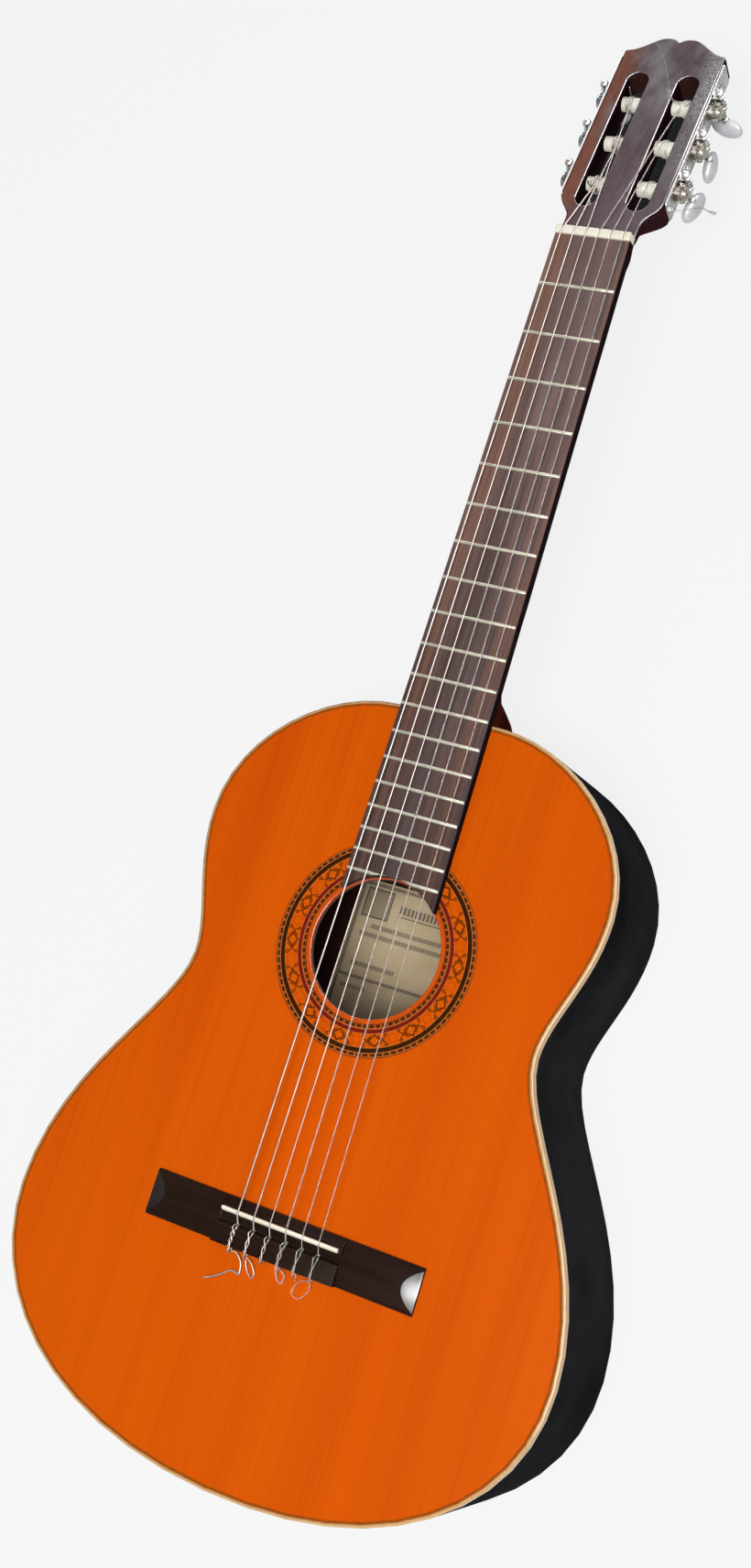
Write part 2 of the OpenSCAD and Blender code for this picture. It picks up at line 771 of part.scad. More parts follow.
// Saddle with its crest to the front, falling to the rear under the strings
module saddle() {
    base = body_depth + block_h - saddle_slot;
    front = saddle_y + saddle_t / 2;
    rear = saddle_y - saddle_t / 2;
    rear_fall = 0.6;
    color(ivory) across(saddle_l) polygon([[rear, base], [front, base], [front, saddle_top - saddle_t / 4],
        [saddle_y + saddle_t / 4, saddle_top], [saddle_y, saddle_top],
        [rear, saddle_top - rear_fall * saddle_t]]);
}

// Tuning machines

rib_x = slot_x - slot_w / 2;
plate_in = head_w / 2;
plate_out = plate_in + plate_t;
gear_in = plate_out + gear_standoff;
gear_out = gear_in + gear_t;
worm_x = (gear_in + gear_out) / 2;
worm_y = gear_r + worm_r;
thread_lead = 2 * PI * gear_r / gear_teeth;
screw_from_roller = (roller_pitch + worm_y + worm_r - gear_r) / 2;
bearing_in = worm_l / 2 + end_gap;

module at_machine(i) {
    head_frame() translate([0, roller_y(i), -roller_depth])
        mirror([side_of(i) < 0 ? 1 : 0, 0, 0]) children();
}

// Worm axes keep the same hand on both sides
module at_worm(i) {
    head_frame() translate([side_of(i) * worm_x, roller_y(i) + worm_y, -roller_depth]) children();
}

// Turns what is built along Z to lie along X, starting at x
module along_x(x) {
    translate([x, 0, 0]) rotate([0, 90, 0]) children();
}

// Four screws along a side plate, on its outer face
module at_screws(s) {
    head_frame() for (k = [0:3])
        translate([s * plate_in, first_roller + screw_from_roller + (k - 1) * roller_pitch, -roller_depth])
            mirror([s < 0 ? 1 : 0, 0, 0]) children();
}

module roller(i) {
    end = plate_in - end_gap;
    start = rib_x - socket_depth + end_gap;
    color(ivory) at_machine(i) {
        along_x(start) cylinder(h = end - start, d = roller_d);
        along_x(end) cylinder(h = gear_out - end, d = journal_d);
    }
}

// Tooth of the gear: its half widths at the root and the tip as shares of the tooth spacing
tooth_clear = 0.15;
tooth_root = 0.26;
tooth_tip = 0.13;
gear_root_r = gear_r - tooth_h - tooth_clear;

module gear_profile() {
    step = 360 / gear_teeth;
    tip_r = gear_r + tooth_h;
    polygon([for (k = [0:gear_teeth - 1]) let (a = (k + 0.5) * step)
        each [for (p = [[gear_root_r, -tooth_root], [tip_r, -tooth_tip], [tip_r, tooth_tip],
            [gear_root_r, tooth_root]]) p[0] * [cos(a + p[1] * step), sin(a + p[1] * step)]]]);
}

// Gear on its hub, held by a capped screw with a driver slot
module gear(i) {
    hub_r = 0.95 * gear_root_r;
    cap_r = 0.85 * gear_root_r;
    cap_t = 1.6;
    driver_w = 1;
    driver_depth = 0.5;
    color(nickel) at_machine(i) {
        difference() {
            union() {
                translate([worm_x, 0, 0]) across(gear_t) gear_profile();
                along_x(plate_out + end_gap / 2) cylinder(h = gear_standoff - end_gap / 2, r = hub_r);
            }
            along_x(plate_out) cylinder(h = gear_out - plate_out + 1, d = journal_d);
        }
        difference() {
            along_x(gear_out) cylinder(h = cap_t, r = cap_r);
            translate([gear_out + cap_t - driver_depth, -hub_r, -driver_w / 2])
                cube([cap_t, 2 * hub_r, driver_w]);
        }
    }
}

// Helical thread, its flanks a trapezium that meshes with the gear teeth
thread_core = worm_r - tooth_h - 2 * tooth_clear;
thread_root = 0.24;
thread_tip = 0.1;
thread_steps = 16;
thread_turns = worm_l / thread_lead - 3 * thread_root;
// Direction from a worm to its gear
gear_side = -90;

module worm_thread() {
    tip = worm_r + tooth_h - tooth_clear;
    foot = thread_core - tooth_clear;
    foot_half = thread_root * thread_lead;
    tip_half = thread_tip * thread_lead;
    turn = 360 * thread_turns;
    skin([for (k = [0:thread_steps * thread_turns])
        let (a = 360 * k / thread_steps - turn / 2, z = thread_lead * a / 360)
        [for (p = [[tip, tip_half], [tip, -tip_half], [foot, -foot_half], [foot, foot_half]])
            [p[0] * cos(gear_side + a), p[0] * sin(gear_side + a), z + p[1]]]]);
}

module worm(i) {
    front = bearing_in + bearing_t + end_gap;
    color(nickel) at_worm(i) {
        union() {
            translate([0, 0, -worm_l / 2]) cylinder(h = worm_l, r = thread_core);
            worm_thread();
        }
        translate([0, 0, worm_l / 2]) cylinder(h = front - worm_l / 2, d = shaft_d);
        translate([0, 0, front]) difference() {
            translate([0, 0, ball_r / 2]) sphere(r = ball_r);
            translate([-ball_r, -ball_r, -2 * ball_r]) cube([2 * ball_r, 2 * ball_r, 2 * ball_r]);
        }
        translate([0, 0, -button_drop]) cylinder(h = button_drop - worm_l / 2, d = shaft_d);
    }
}

// Rest angles of the buttons about their shafts
button_angle = [72, -87, -12, 20, 70, -35];

module oval(l, w) {
    polygon([for (a = [0:15:345]) [l / 2 * cos(a), w / 2 * sin(a)]]);
}

// Oval knob that is rounded off across its thickness both ways
module button(i) {
    ferrule_l = 2.5;
    color(pearl) at_worm(i) translate([0, 0, -button_drop]) rotate([0, 0, button_angle[i - 1]]) difference() {
        union() {
            intersection() {
                rotate([90, 0, 0]) linear_extrude(button_t, center = true) oval(button_l, button_w);
                linear_extrude(button_w, center = true) oval(button_l, button_t);
                rotate([0, 90, 0]) linear_extrude(button_l, center = true) oval(button_w, button_t);
            }
            translate([0, 0, button_w / 2 - ferrule_l]) cylinder(h = 1.5 * ferrule_l, d = 2 * shaft_d);
        }
        cylinder(h = button_w, d = shaft_d);
    }
}

// Side plate with rounded corners, longer beyond its last screw than before its first
module plate_outline() {
    screw_margin = 1.2;
    first_screw = first_roller + screw_from_roller - roller_pitch;
    near = first_screw - screw_head_d / 2 - screw_margin;
    far = first_screw + 3 * roller_pitch + plate_past_screw;
    low = plate_rise - plate_h / 2;
    high = plate_rise + plate_h / 2;
    translate([near + plate_corner, low]) square([far - near - 2 * plate_corner, plate_h]);
    translate([near, low + plate_corner]) square([far - near, plate_h - 2 * plate_corner]);
    for (y = [near + plate_corner, far - plate_corner], z = [low + plate_corner, high - plate_corner])
        translate([y, z]) circle(r = plate_corner);
}

module tuner_plate(s) {
    machines = s > 0 ? [1:3] : [4:6];
    color(nickel) difference() {
        union() {
            head_frame() translate([s * (plate_in + plate_t / 2), 0, -roller_depth])
                across(plate_t) plate_outline();
            for (i = machines) at_machine(i) for (e = [-1, 1]) worm_bearing(e);
        }
        for (i = machines) {
            at_machine(i) along_x(0) cylinder(h = head_w, r = journal_d / 2 + running_gap);
            at_worm(i) cylinder(h = 4 * worm_l, r = shaft_d / 2 + running_gap, center = true);
        }
        at_screws(s) along_x(-1) cylinder(h = plate_t + 2, d = screw_d);
    }
}

// Eye that carries one end of a worm shaft, standing out from the plate
module worm_bearing(e) {
    eye_r = shaft_d / 2 + bearing_t;
    z = e > 0 ? bearing_in : -bearing_in - bearing_t;
    translate([worm_x, worm_y, z]) cylinder(h = bearing_t, r = eye_r);
    translate([plate_in, worm_y - eye_r, z]) cube([worm_x - plate_in, 2 * eye_r, bearing_t]);
}

module plate_screws() {
    dome = 1.2;
    driver_w = 0.6;
    color(nickel) for (s = [-1, 1]) at_screws(s) difference() {
        union() {
            along_x(-screw_l) cylinder(h = screw_l + plate_t, d = screw_d);
            along_x(plate_t) cylinder(h = dome, d = screw_head_d);
        }
        translate([plate_t + dome / 2, -screw_head_d, -driver_w / 2])
            cube([dome, 2 * screw_head_d, driver_w]);
    }
}

// Strings

wind_rings = 24;
loop_rings = 8;
string_sides = 6;
// Where each string first lands on its roller, measured outwards from the middle of the slot
land_offset = [-0.5, -2.5, 0.3, 0.3, -3, -1.5];

function wind_pitch(i) = 2 * string_r(i) + wind_space;
function wind_radius(i) = roller_d / 2 + string_gap + string_r(i);

// Tie at the bridge: over the tie block, round behind it, back through its hole and up to the saddle
function tie_route(i) = let (x = string_x(i, saddle_spread), lift = string_r(i) + string_gap,
        over = body_depth + block_h + lift, hole = body_depth + tie_hole_h, r = (over - hole) / 2,
        y = bridge_rear - string_gap)
    concat([[x, tie_front - 1, over], [x, (tie_front + y) / 2, over]],
        [for (k = [0:loop_rings]) let (a = 90 + 180 * k / loop_rings)
            [x, y + r * cos(a), hole + r + r * sin(a)]],
        [[x, tie_front + string_r(i), hole], [x, saddle_y - saddle_t / 8, saddle_top + lift]]);

// Where string i leaves the nut, and where it first touches its roller, in the head's own Y and Z
function nut_leave(i) = [nut_leave_y, nut_base_z + string_r(i) + string_gap];
function touch_angle(i) = let (n = nut_leave(i), p = to_head(n[0], n[1]) - [roller_y(i), -roller_depth])
    atan2(p[1], p[0]) - acos(wind_radius(i) / norm(p));

function wind_route(i) = let (a0 = touch_angle(i), r = wind_radius(i))
    [for (k = [0:wind_rings * wind_turns]) let (a = a0 - 360 * k / wind_rings)
        from_head([side_of(i) * (slot_x + land_offset[i - 1] + wind_pitch(i) * k / wind_rings),
            roller_y(i) + r * cos(a), -roller_depth + r * sin(a)])];

function string_route(i) = let (x = string_x(i, nut_spread), n = nut_leave(i))
    concat(tie_route(i), [[x, nut_y, n[1]], [x, n[0], n[1]]], wind_route(i));

function self_gap(p, d, skip) = min([for (a = [0:len(p) - 1 - skip]) for (b = [a + skip:len(p) - 1])
    norm(p[a] - p[b])]) - d;

module tube(p, r, sides) {
    last = len(p) - 1;
    ahead = [for (k = [0:last]) unit(p[min(k + 1, last)] - p[max(k - 1, 0)])];
    skin([for (k = [0:last]) let (a = unit(cross(ahead[k], [1, 0, 0])), b = cross(ahead[k], a))
        [for (s = [0:sides - 1]) p[k] + r * (cos(360 * s / sides) * a + sin(360 * s / sides) * b)]]);
}

module guitar_string(i) {
    echo(str("string ", i, " least gap between its turns: ",
        self_gap(wind_route(i), 2 * string_r(i), wind_rings / 2), " mm"));
    color(i <= 3 ? pearl : nickel) tube(string_route(i), string_r(i), string_sides);
}

soundboard();
back();
side_bass();
side_treble();
top_binding();
top_purfling();
back_binding();
top_lining();
back_lining();
neck_block();
tail_block();
fan_braces();
harmonic_bars();
soundhole_patch();
back_braces();
back_strip();
rosette();
label();
neck();
heel_cap();
headstock();
head_veneer();
fingerboard();
frets();
nut();
bridge();
saddle();
tuner_plate(-1);  // tuner_plate_bass
tuner_plate(1);  // tuner_plate_treble
plate_screws();
for (i = [1:6]) {
    roller(i);
    gear(i);
    worm(i);
    button(i);
    guitar_string(i);
}
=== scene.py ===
"""Classical guitar with an amber top, black sides and a slotted head, lying on a pale floor."""

import json
import math

import bpy
from mathutils import Matrix, Vector

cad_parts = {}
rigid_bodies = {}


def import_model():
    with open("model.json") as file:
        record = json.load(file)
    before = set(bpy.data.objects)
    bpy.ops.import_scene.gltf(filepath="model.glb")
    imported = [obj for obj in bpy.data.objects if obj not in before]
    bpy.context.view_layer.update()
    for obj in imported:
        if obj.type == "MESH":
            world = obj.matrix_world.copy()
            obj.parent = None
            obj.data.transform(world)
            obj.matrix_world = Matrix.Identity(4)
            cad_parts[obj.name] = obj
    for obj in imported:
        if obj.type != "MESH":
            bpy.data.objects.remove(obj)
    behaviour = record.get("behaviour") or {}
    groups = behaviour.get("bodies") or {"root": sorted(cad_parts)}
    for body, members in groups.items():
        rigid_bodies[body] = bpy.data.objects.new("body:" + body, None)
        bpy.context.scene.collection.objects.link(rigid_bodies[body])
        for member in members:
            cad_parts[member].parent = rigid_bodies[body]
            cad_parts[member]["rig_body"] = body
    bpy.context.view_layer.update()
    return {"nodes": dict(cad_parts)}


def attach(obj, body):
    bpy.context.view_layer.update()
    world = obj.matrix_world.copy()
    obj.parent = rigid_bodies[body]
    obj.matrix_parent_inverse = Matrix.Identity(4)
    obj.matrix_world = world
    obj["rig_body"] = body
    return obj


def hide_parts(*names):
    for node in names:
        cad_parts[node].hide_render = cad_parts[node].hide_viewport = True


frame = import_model()
NODES = frame["nodes"]
MM = 0.001
bpy.context.scene.view_settings.view_transform = "Standard"

# Sizes of the guitar in millimetres, in the frame of the solids. Pairs are Y and Z.
# Body: height of the top, soundhole and the lacquered rim round it
TOP_Z = 100.0
HOLE_R = 43.0
HOLE_RIM = 3.3
HOLE_ROUND = 0.7

# Rim of the body: its middle, its rounded edge, and the level down to which the pale band runs
BODY_MIDDLE = Vector((0.0, -90.0, 0.0))
EDGE_ROUND = 1.2
BAND_LEVEL = 94.0
# Slope, as the normal's Z, down to which the tan line runs, and where the bass side's edge ends
FLAT_LINE = 0.995
TAN_LINE = 0.3
TAN_END = -225.0

# Neck: its end at the head, the nut, and the level of the fingerboard
NECK_END = (481.0, 105.077)
NECK_RISE = 5.0 / 325.0
NUT_LEAVE = (476.8, 114.1)
NUT_FRONT = 476.0
NUT_LIP = 1.2
NUT_HALF = 26.0
BOARD_TOP = 112.5
# Rounded wood between neck and head: its length into the head and the neck, depth and roundness
CARVE_IN = 27.0
CARVE_BACK = 45.0
CARVE_DEPTH = 16.9
CARVE_SKIN = 0.3
CARVE_REACH = 1.05
CARVE_POWER = 2.2
# Hollow of the heel's flanks: where it starts, is full and ends along the neck, and its share
HOLLOW_FROM = 164.0
HOLLOW_FULL = 181.0
HOLLOW_END = 250.0
HOLLOW_TOP = 104.0
HOLLOW_DEPTH = 22.0
HOLLOW_SHARE = 0.38

# Head: its tilt, slots, outer edge, and the depths at which its wood is cut for the carving
HEAD_TILT = math.radians(12.2)
HEAD_UP = Vector((0.0, math.sin(HEAD_TILT), math.cos(HEAD_TILT)))
HEAD_EDGE_X = 30.0
HEAD_CUTS = (4.0, 8.0, 11.0, 13.5)
SLOT_X = 18.0
SLOT_OUT = 27.0
SLOT_NEAR = 500.0
SLOT_FAR = 622.0

# Tuning machines: rollers, worms, plates and buttons
ROLLER_R = 5.0
ROLLER_DEPTH = 8.0
FIRST_ROLLER = 46.5
ROLLER_PITCH = 35.0
WORM_X = 41.2
WORM_Y = 9.0
PLATE_TOP = 1.2
PLATE_LIP = 1.3
BUTTON_DROP = 24.0
BUTTON_SIZE = (24.0, 8.5, 17.0)
BUTTON_FILL = 0.495
BUTTON_ANGLE = (72, -87, -12, 20, 70, -35)
COLLAR_WIDE = 3.0
COLLAR_SLIM = 2.2
COLLAR_LONG = 3.4
COLLAR_SINK = 0.6

# Bridge: saddle and tie block
SADDLE_Y = -174.0
SADDLE_TOP = 110.8
SADDLE_CREST = -0.35
TIE_FRONT = -182.0
BRIDGE_REAR = -194.5
TIE_TOP = 108.2
TIE_HOLE = 105.3

# Strings, from the first to the sixth
STRING_D = (0.71, 0.82, 1.02, 0.75, 0.9, 1.1)
STRING_GAP = 0.2
NUT_SPREAD = 43.0
SADDLE_SPREAD = 56.0
LAND_OFFSET = (-0.5, -2.5, 0.3, 0.3, -3.0, -1.5)
WIND_TURNS = 3
WIND_SPACE = 0.5
WINDING_PITCH = 0.3
# Knots: half width of the twisted pair at its rear end, how far it parts, and its half height
PAIR_HALF = 0.5
PAIR_PARTS = 0.75
PAIR_RISE = 0.6
TWIST_TURNS = {1: 0.5, 2: 0.5, 3: 1.0, 4: 1.0, 5: 1.0, 6: 1.5}
# The third string's thin end past its roller, and the first one's end beside the head
THIN_FROM = 8.0
THIN_SHARE = 0.6
END_BESIDE = 48.0

# The picture's camera: its place in metres, and the directions of the picture's right and down
IMAGE_W = 820
IMAGE_H = 1713
FOCAL_PX = 2088.11
CENTRE_PX = (460.86, 762.59)
CAMERA_PLACE = Vector((0.48197, -0.03428, 1.17363))
CAMERA_RIGHT = Vector((0.883133, 0.300843, -0.359958))
CAMERA_DOWN = Vector((0.211329, -0.940161, -0.267279))


# Selecting and shaping: points closer than WELD are one, faces flatter than FLAT_ANGLE are one,
# and points within FLUSH of a level lie on it
WELD = 0.003
FLAT_ANGLE = 0.5
FLUSH = 0.05


def only(piece):
    """Leaves one piece selected and active."""
    bpy.ops.object.select_all(action="DESELECT")
    piece.select_set(True)
    bpy.context.view_layer.objects.active = piece


def edit(piece):
    """Opens a piece in edit mode with nothing selected."""
    only(piece)
    bpy.ops.object.mode_set(mode="EDIT")
    bpy.ops.mesh.select_mode(type="EDGE")
    bpy.ops.mesh.select_all(action="DESELECT")


def leave():
    """Goes back to object mode."""
    bpy.ops.object.mode_set(mode="OBJECT")


def pick_edges(piece, test):
    """Selects the edges whose two ends pass the test, and stays in edit mode."""
    edit(piece)
    leave()
    points = piece.data.vertices
    for edge in piece.data.edges:
        edge.select = all(test(points[v].co) for v in edge.vertices)
    bpy.ops.object.mode_set(mode="EDIT")


def soften(piece, width, segments=2, corner=30, slot=-1):
    """Rounds the corners that are sharper than an angle, with their own material slot if one is named."""
    only(piece)
    bevel = piece.modifiers.new("soft_corners", "BEVEL")
    bevel.width = width * MM
    bevel.segments = segments
    bevel.limit_method = "ANGLE"
    bevel.angle_limit = math.radians(corner)
    bevel.use_clamp_overlap = True
    bevel.material = slot
    bpy.ops.object.modifier_apply(modifier=bevel.name)


def smooth(piece, angle=35):
    """Shades a piece smooth, apart from edges sharper than the angle."""
    only(piece)
    bpy.ops.object.shade_smooth_by_angle(angle=math.radians(angle))


def settle(piece, node):
    """Gives a piece its body, and lets it stand for a node."""
    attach(piece, NODES[node]["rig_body"])
    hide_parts(node)
    return piece


def dress(node, name, finish, width=0.0, segments=2, corner=30, angle=35, edge=None):
    """Copies a node as one merged mesh with softened corners, which then stands for it."""
    piece = bpy.data.objects.new(name, NODES[node].data.copy())
    bpy.context.scene.collection.objects.link(piece)
    piece.data.materials.clear()
    for part in (finish, edge):
        if part:
            piece.data.materials.append(part.material)
    edit(piece)
    bpy.ops.mesh.customdata_custom_splitnormals_clear()
    bpy.ops.mesh.select_all(action="SELECT")
    bpy.ops.mesh.remove_doubles(threshold=WELD * MM)
    bpy.ops.mesh.dissolve_limited(angle_limit=math.radians(FLAT_ANGLE))
    leave()
    if width:
        soften(piece, width, segments, corner, 1 if edge else -1)
    smooth(piece, angle)
    return settle(piece, node)


def paint(piece, finish, test):
    """Gives the faces that pass the test a finish of their own."""
    piece.data.materials.append(finish.material)
    slot = len(piece.data.materials) - 1
    for face in piece.data.polygons:
        if test(face):
            face.material_index = slot


# Finishes

class Tree:
    """The nodes of one material or world."""

    def __init__(self, owner):
        owner.use_nodes = True
        self.nodes = owner.node_tree.nodes
        self.links = owner.node_tree.links

    def put(self, kind, inputs=None, **settings):
        """Adds a node with its settings and what goes into it."""
        node = self.nodes.new("ShaderNode" + kind)
        for key, value in settings.items():
            setattr(node, key, value)
        for key, value in (inputs or {}).items():
            self.feed(node.inputs[key], value)
        return node

    def feed(self, socket, value):
        """Joins a socket to another one, or sets its value."""
        if isinstance(value, bpy.types.NodeSocket):
            self.links.new(value, socket)
        else:
            socket.default_value = value

    def calc(self, operation, a, b=0.0):
        """One step of arithmetic."""
        return self.put("Math", {0: a, 1: b}, operation=operation).outputs[0]

    def remap(self, value, low, high, to_low=0.0, to_high=1.0, **settings):
        """Spreads a range of values over another one, and holds its ends."""
        made = self.put("MapRange", {0: value, 1: low, 2: high, 3: to_low, 4: to_high}, **settings)
        return made.outputs[0]


class Finish(Tree):
    """A material built on its principled shader."""

    def __init__(self, name, **sockets):
        self.material = bpy.data.materials.new(name)
        super().__init__(self.material)
        self.shader = self.nodes["Principled BSDF"]
        for socket, value in sockets.items():
            self.shader.inputs[socket.replace("_", " ").title().replace("Ior", "IOR")].default_value = value
        self.place = self.put("TexCoord").outputs["Object"]

    def axes(self):
        """X, Y and Z of the surface, in millimetres."""
        grown = self.put("VectorMath", {0: self.place, 3: 1.0 / MM}, operation="SCALE")
        return self.put("SeparateXYZ", {0: grown.outputs[0]}).outputs

    def noise(self, stretch, detail=4.0, roughness=0.5, shift=(0.0, 0.0, 0.0)):
        """Noise with a number of waves per metre along each axis."""
        mapped = self.put("Mapping", {"Vector": self.place, "Scale": stretch, "Location": shift})
        made = self.put("TexNoise", {"Vector": mapped.outputs[0], "Scale": 1.0, "Detail": detail,
                                     "Roughness": roughness})
        return made.outputs["Fac"]

    def ramp(self, value, stops, interpolation="LINEAR"):
        """Turns a value into a colour. The places of its stops are set first, as they sort the marks."""
        node = self.put("ValToRGB", {0: value})
        node.color_ramp.interpolation = interpolation
        marks = node.color_ramp.elements
        while len(marks) < len(stops):
            marks.new(0.5)
        for mark, (place, _) in zip(marks, stops):
            mark.position = place
        for mark, (_, colour) in zip(marks, stops):
            mark.color = (*colour, 1.0)
        return node.outputs[0]

    def blend(self, share, a, b, kind="MIX"):
        """Mixes two colours."""
        node = self.put("Mix", {"Factor": share}, data_type="RGBA", blend_type=kind)
        self.feed(node.inputs[6], a if isinstance(a, bpy.types.NodeSocket) else (*a, 1.0))
        self.feed(node.inputs[7], b if isinstance(b, bpy.types.NodeSocket) else (*b, 1.0))
        return node.outputs[2]

    def colour(self, value):
        self.feed(self.shader.inputs["Base Color"], value)

    def rough(self, value, low, high):
        self.feed(self.shader.inputs["Roughness"], self.remap(value, 0.0, 1.0, low, high))

    def relief(self, height, depth):
        """Fine relief with a depth in millimetres."""
        bump = self.put("Bump", {"Height": height, "Distance": depth * MM, "Strength": 1.0})
        self.feed(self.shader.inputs["Normal"], bump.outputs[0])


def wood(name, dark, light, fine, broad, relief=0.02, low=0.25, high=0.4, **sockets):
    """Wood in two tones, with waves per metre of its fine and broad grain, relief and roughness."""
    f = Finish(name, **sockets)
    grain = f.noise(fine, 5.0, 0.6)
    streak = f.noise(broad, 3.0, 0.5, (3.1, 1.7, 0.4))
    both = f.calc("ADD", f.calc("MULTIPLY", grain, 0.5), f.calc("MULTIPLY", streak, 0.5))
    f.colour(f.ramp(both, [(0.36, dark), (0.62, light)]))
    f.rough(streak, low, high)
    f.relief(grain, relief)
    return f


def soundboard_finish():
    """Amber lacquer over straight grain."""
    f = Finish("amber_top", specular_ior_level=0.03)
    grain = f.noise((520.0, 4.0, 60.0), 4.0, 0.6)
    streak = f.noise((38.0, 1.6, 8.0), 4.0, 0.55, (5.2, 0.3, 0.0))
    cloud = f.noise((5.0, 3.0, 4.0), 2.0, 0.5, (1.0, 2.0, 0.0))
    wide = f.ramp(streak, [(0.3, (0.583, 0.077, 0.001)), (0.7, (0.645, 0.096, 0.001))])
    lines = f.ramp(grain, [(0.3, (0.93, 0.88, 0.8)), (0.55, (1.0, 1.0, 1.0))])
    tone = f.ramp(cloud, [(0.35, (0.97, 0.93, 1.0)), (0.65, (1.0, 1.04, 1.0))])
    f.colour(f.blend(1.0, f.blend(1.0, wide, lines, "MULTIPLY"), tone, "MULTIPLY"))
    f.rough(cloud, 0.22, 0.32)
    f.relief(grain, 0.006)
    return f


def rosette_finish():
    """Ring lines, dashed rings and a band of diamonds with curled crosses, drawn by formula."""
    f = Finish("rosette_inlay", specular_ior_level=0.03)
    x, y, z = f.axes()
    radius = f.calc("SQRT", f.calc("ADD", f.calc("MULTIPLY", x, x), f.calc("MULTIPLY", y, y)))
    turn = f.calc("ARCTAN2", x, f.calc("MULTIPLY", y, -1.0))
    amber = (0.615, 0.093, 0.001)
    dark = (0.040, 0.014, 0.002)
    brown = (0.034, 0.010, 0.001)
    red = (0.17, 0.011, 0.006)
    tan = (0.36, 0.085, 0.011)
    pale_tan = (0.52, 0.135, 0.024)
    dark_red = (0.16, 0.020, 0.004)
    inner, outer = 46.0, 66.6
    # The radius at which each ring starts
    rings = [(inner, dark_red), (46.5, tan), (48.6, pale_tan), (49.1, red), (51.5, pale_tan), (51.9, amber),
             (60.0, pale_tan), (60.4, brown), (63.1, pale_tan), (63.5, tan), (65.5, pale_tan),
             (65.9, dark_red), (66.5, amber)]
    spread = f.calc("DIVIDE", f.calc("SUBTRACT", radius, inner), outer - inner)
    base = f.ramp(spread, [((r - inner) / (outer - inner), c) for r, c in rings], "CONSTANT")

    def between(low, high):
        return f.calc("MULTIPLY", f.calc("GREATER_THAN", radius, low), f.calc("LESS_THAN", radius, high))

    def dashes(count, low, high, share):
        step = f.calc("FRACT", f.calc("MULTIPLY", turn, count / math.tau))
        return f.calc("MULTIPLY", f.calc("LESS_THAN", step, share), between(low, high))

    strokes = f.calc("MAXIMUM", dashes(88, 63.75, 65.4, 0.68), dashes(72, 46.7, 48.3, 0.68))
    # The band of diamonds: its middle, its edges, and the turn from one diamond to the next
    band, band_low, band_high = 55.9, 51.7, 60.1
    pitch = math.radians(24.9)
    first = math.radians(-5.9)
    step = f.calc("DIVIDE", f.calc("SUBTRACT", turn, first), pitch)
    av = f.calc("ABSOLUTE", f.calc("SUBTRACT", radius, band))

    def along(shift):
        """Distance along the band from the nearest motif's middle."""
        part = f.calc("SUBTRACT", f.calc("FRACT", f.calc("ADD", step, shift)), 0.5)
        return f.calc("ABSOLUTE", f.calc("MULTIPLY", part, pitch * band))

    def line(distance, half):
        """A stroke where a distance is close to nothing."""
        return f.calc("LESS_THAN", f.calc("ABSOLUTE", distance), half)

    def ring(au, cx, cy, size, half):
        du = f.calc("SUBTRACT", au, cx)
        dv = f.calc("SUBTRACT", av, cy)
        away = f.calc("SQRT", f.calc("ADD", f.calc("MULTIPLY", du, du), f.calc("MULTIPLY", dv, dv)))
        return line(f.calc("SUBTRACT", away, size), half)

    au = along(0.5)
    half_long, half_wide = 4.0, 3.5
    lozenge = f.calc("ADD", f.calc("DIVIDE", au, half_long), f.calc("DIVIDE", av, half_wide))
    motif = line(f.calc("SUBTRACT", lozenge, 1.0), 0.2)
    cross_at, cross_reach = 5.4, 3.1
    arm = f.calc("ABSOLUTE", f.calc("SUBTRACT", au, cross_at))
    cross = f.calc("MULTIPLY", line(f.calc("SUBTRACT", av, arm), 0.5), f.calc("LESS_THAN", arm, cross_reach))
    motif = f.calc("MAXIMUM", motif, cross)
    motif = f.calc("MAXIMUM", motif, ring(au, 7.5, 3.1, 0.8, 0.33))
    motif = f.calc("MULTIPLY", motif, between(band_low, band_high))
    rest = along(0.0)
    faint = f.calc("MAXIMUM", ring(rest, 0.0, 0.0, 2.6, 0.5), ring(rest, 2.2, 2.4, 0.9, 0.35))
    faint = f.calc("MULTIPLY", faint, between(band_low, band_high))
    shade = f.blend(f.calc("MULTIPLY", faint, 0.45), base, (0.50, 0.045, 0.001))
    shade = f.blend(f.calc("MULTIPLY", motif, 0.92), shade, (0.085, 0.018, 0.001))
    shade = f.blend(f.calc("MULTIPLY", strokes, 0.97), shade, dark)
    grain = f.noise((300.0, 300.0, 60.0), 4.0)
    lines = f.ramp(grain, [(0.3, (0.8, 0.76, 0.7)), (0.7, (1.0, 1.0, 1.0))])
    f.colour(f.blend(0.3, shade, lines, "MULTIPLY"))
    f.rough(grain, 0.22, 0.32)
    return f


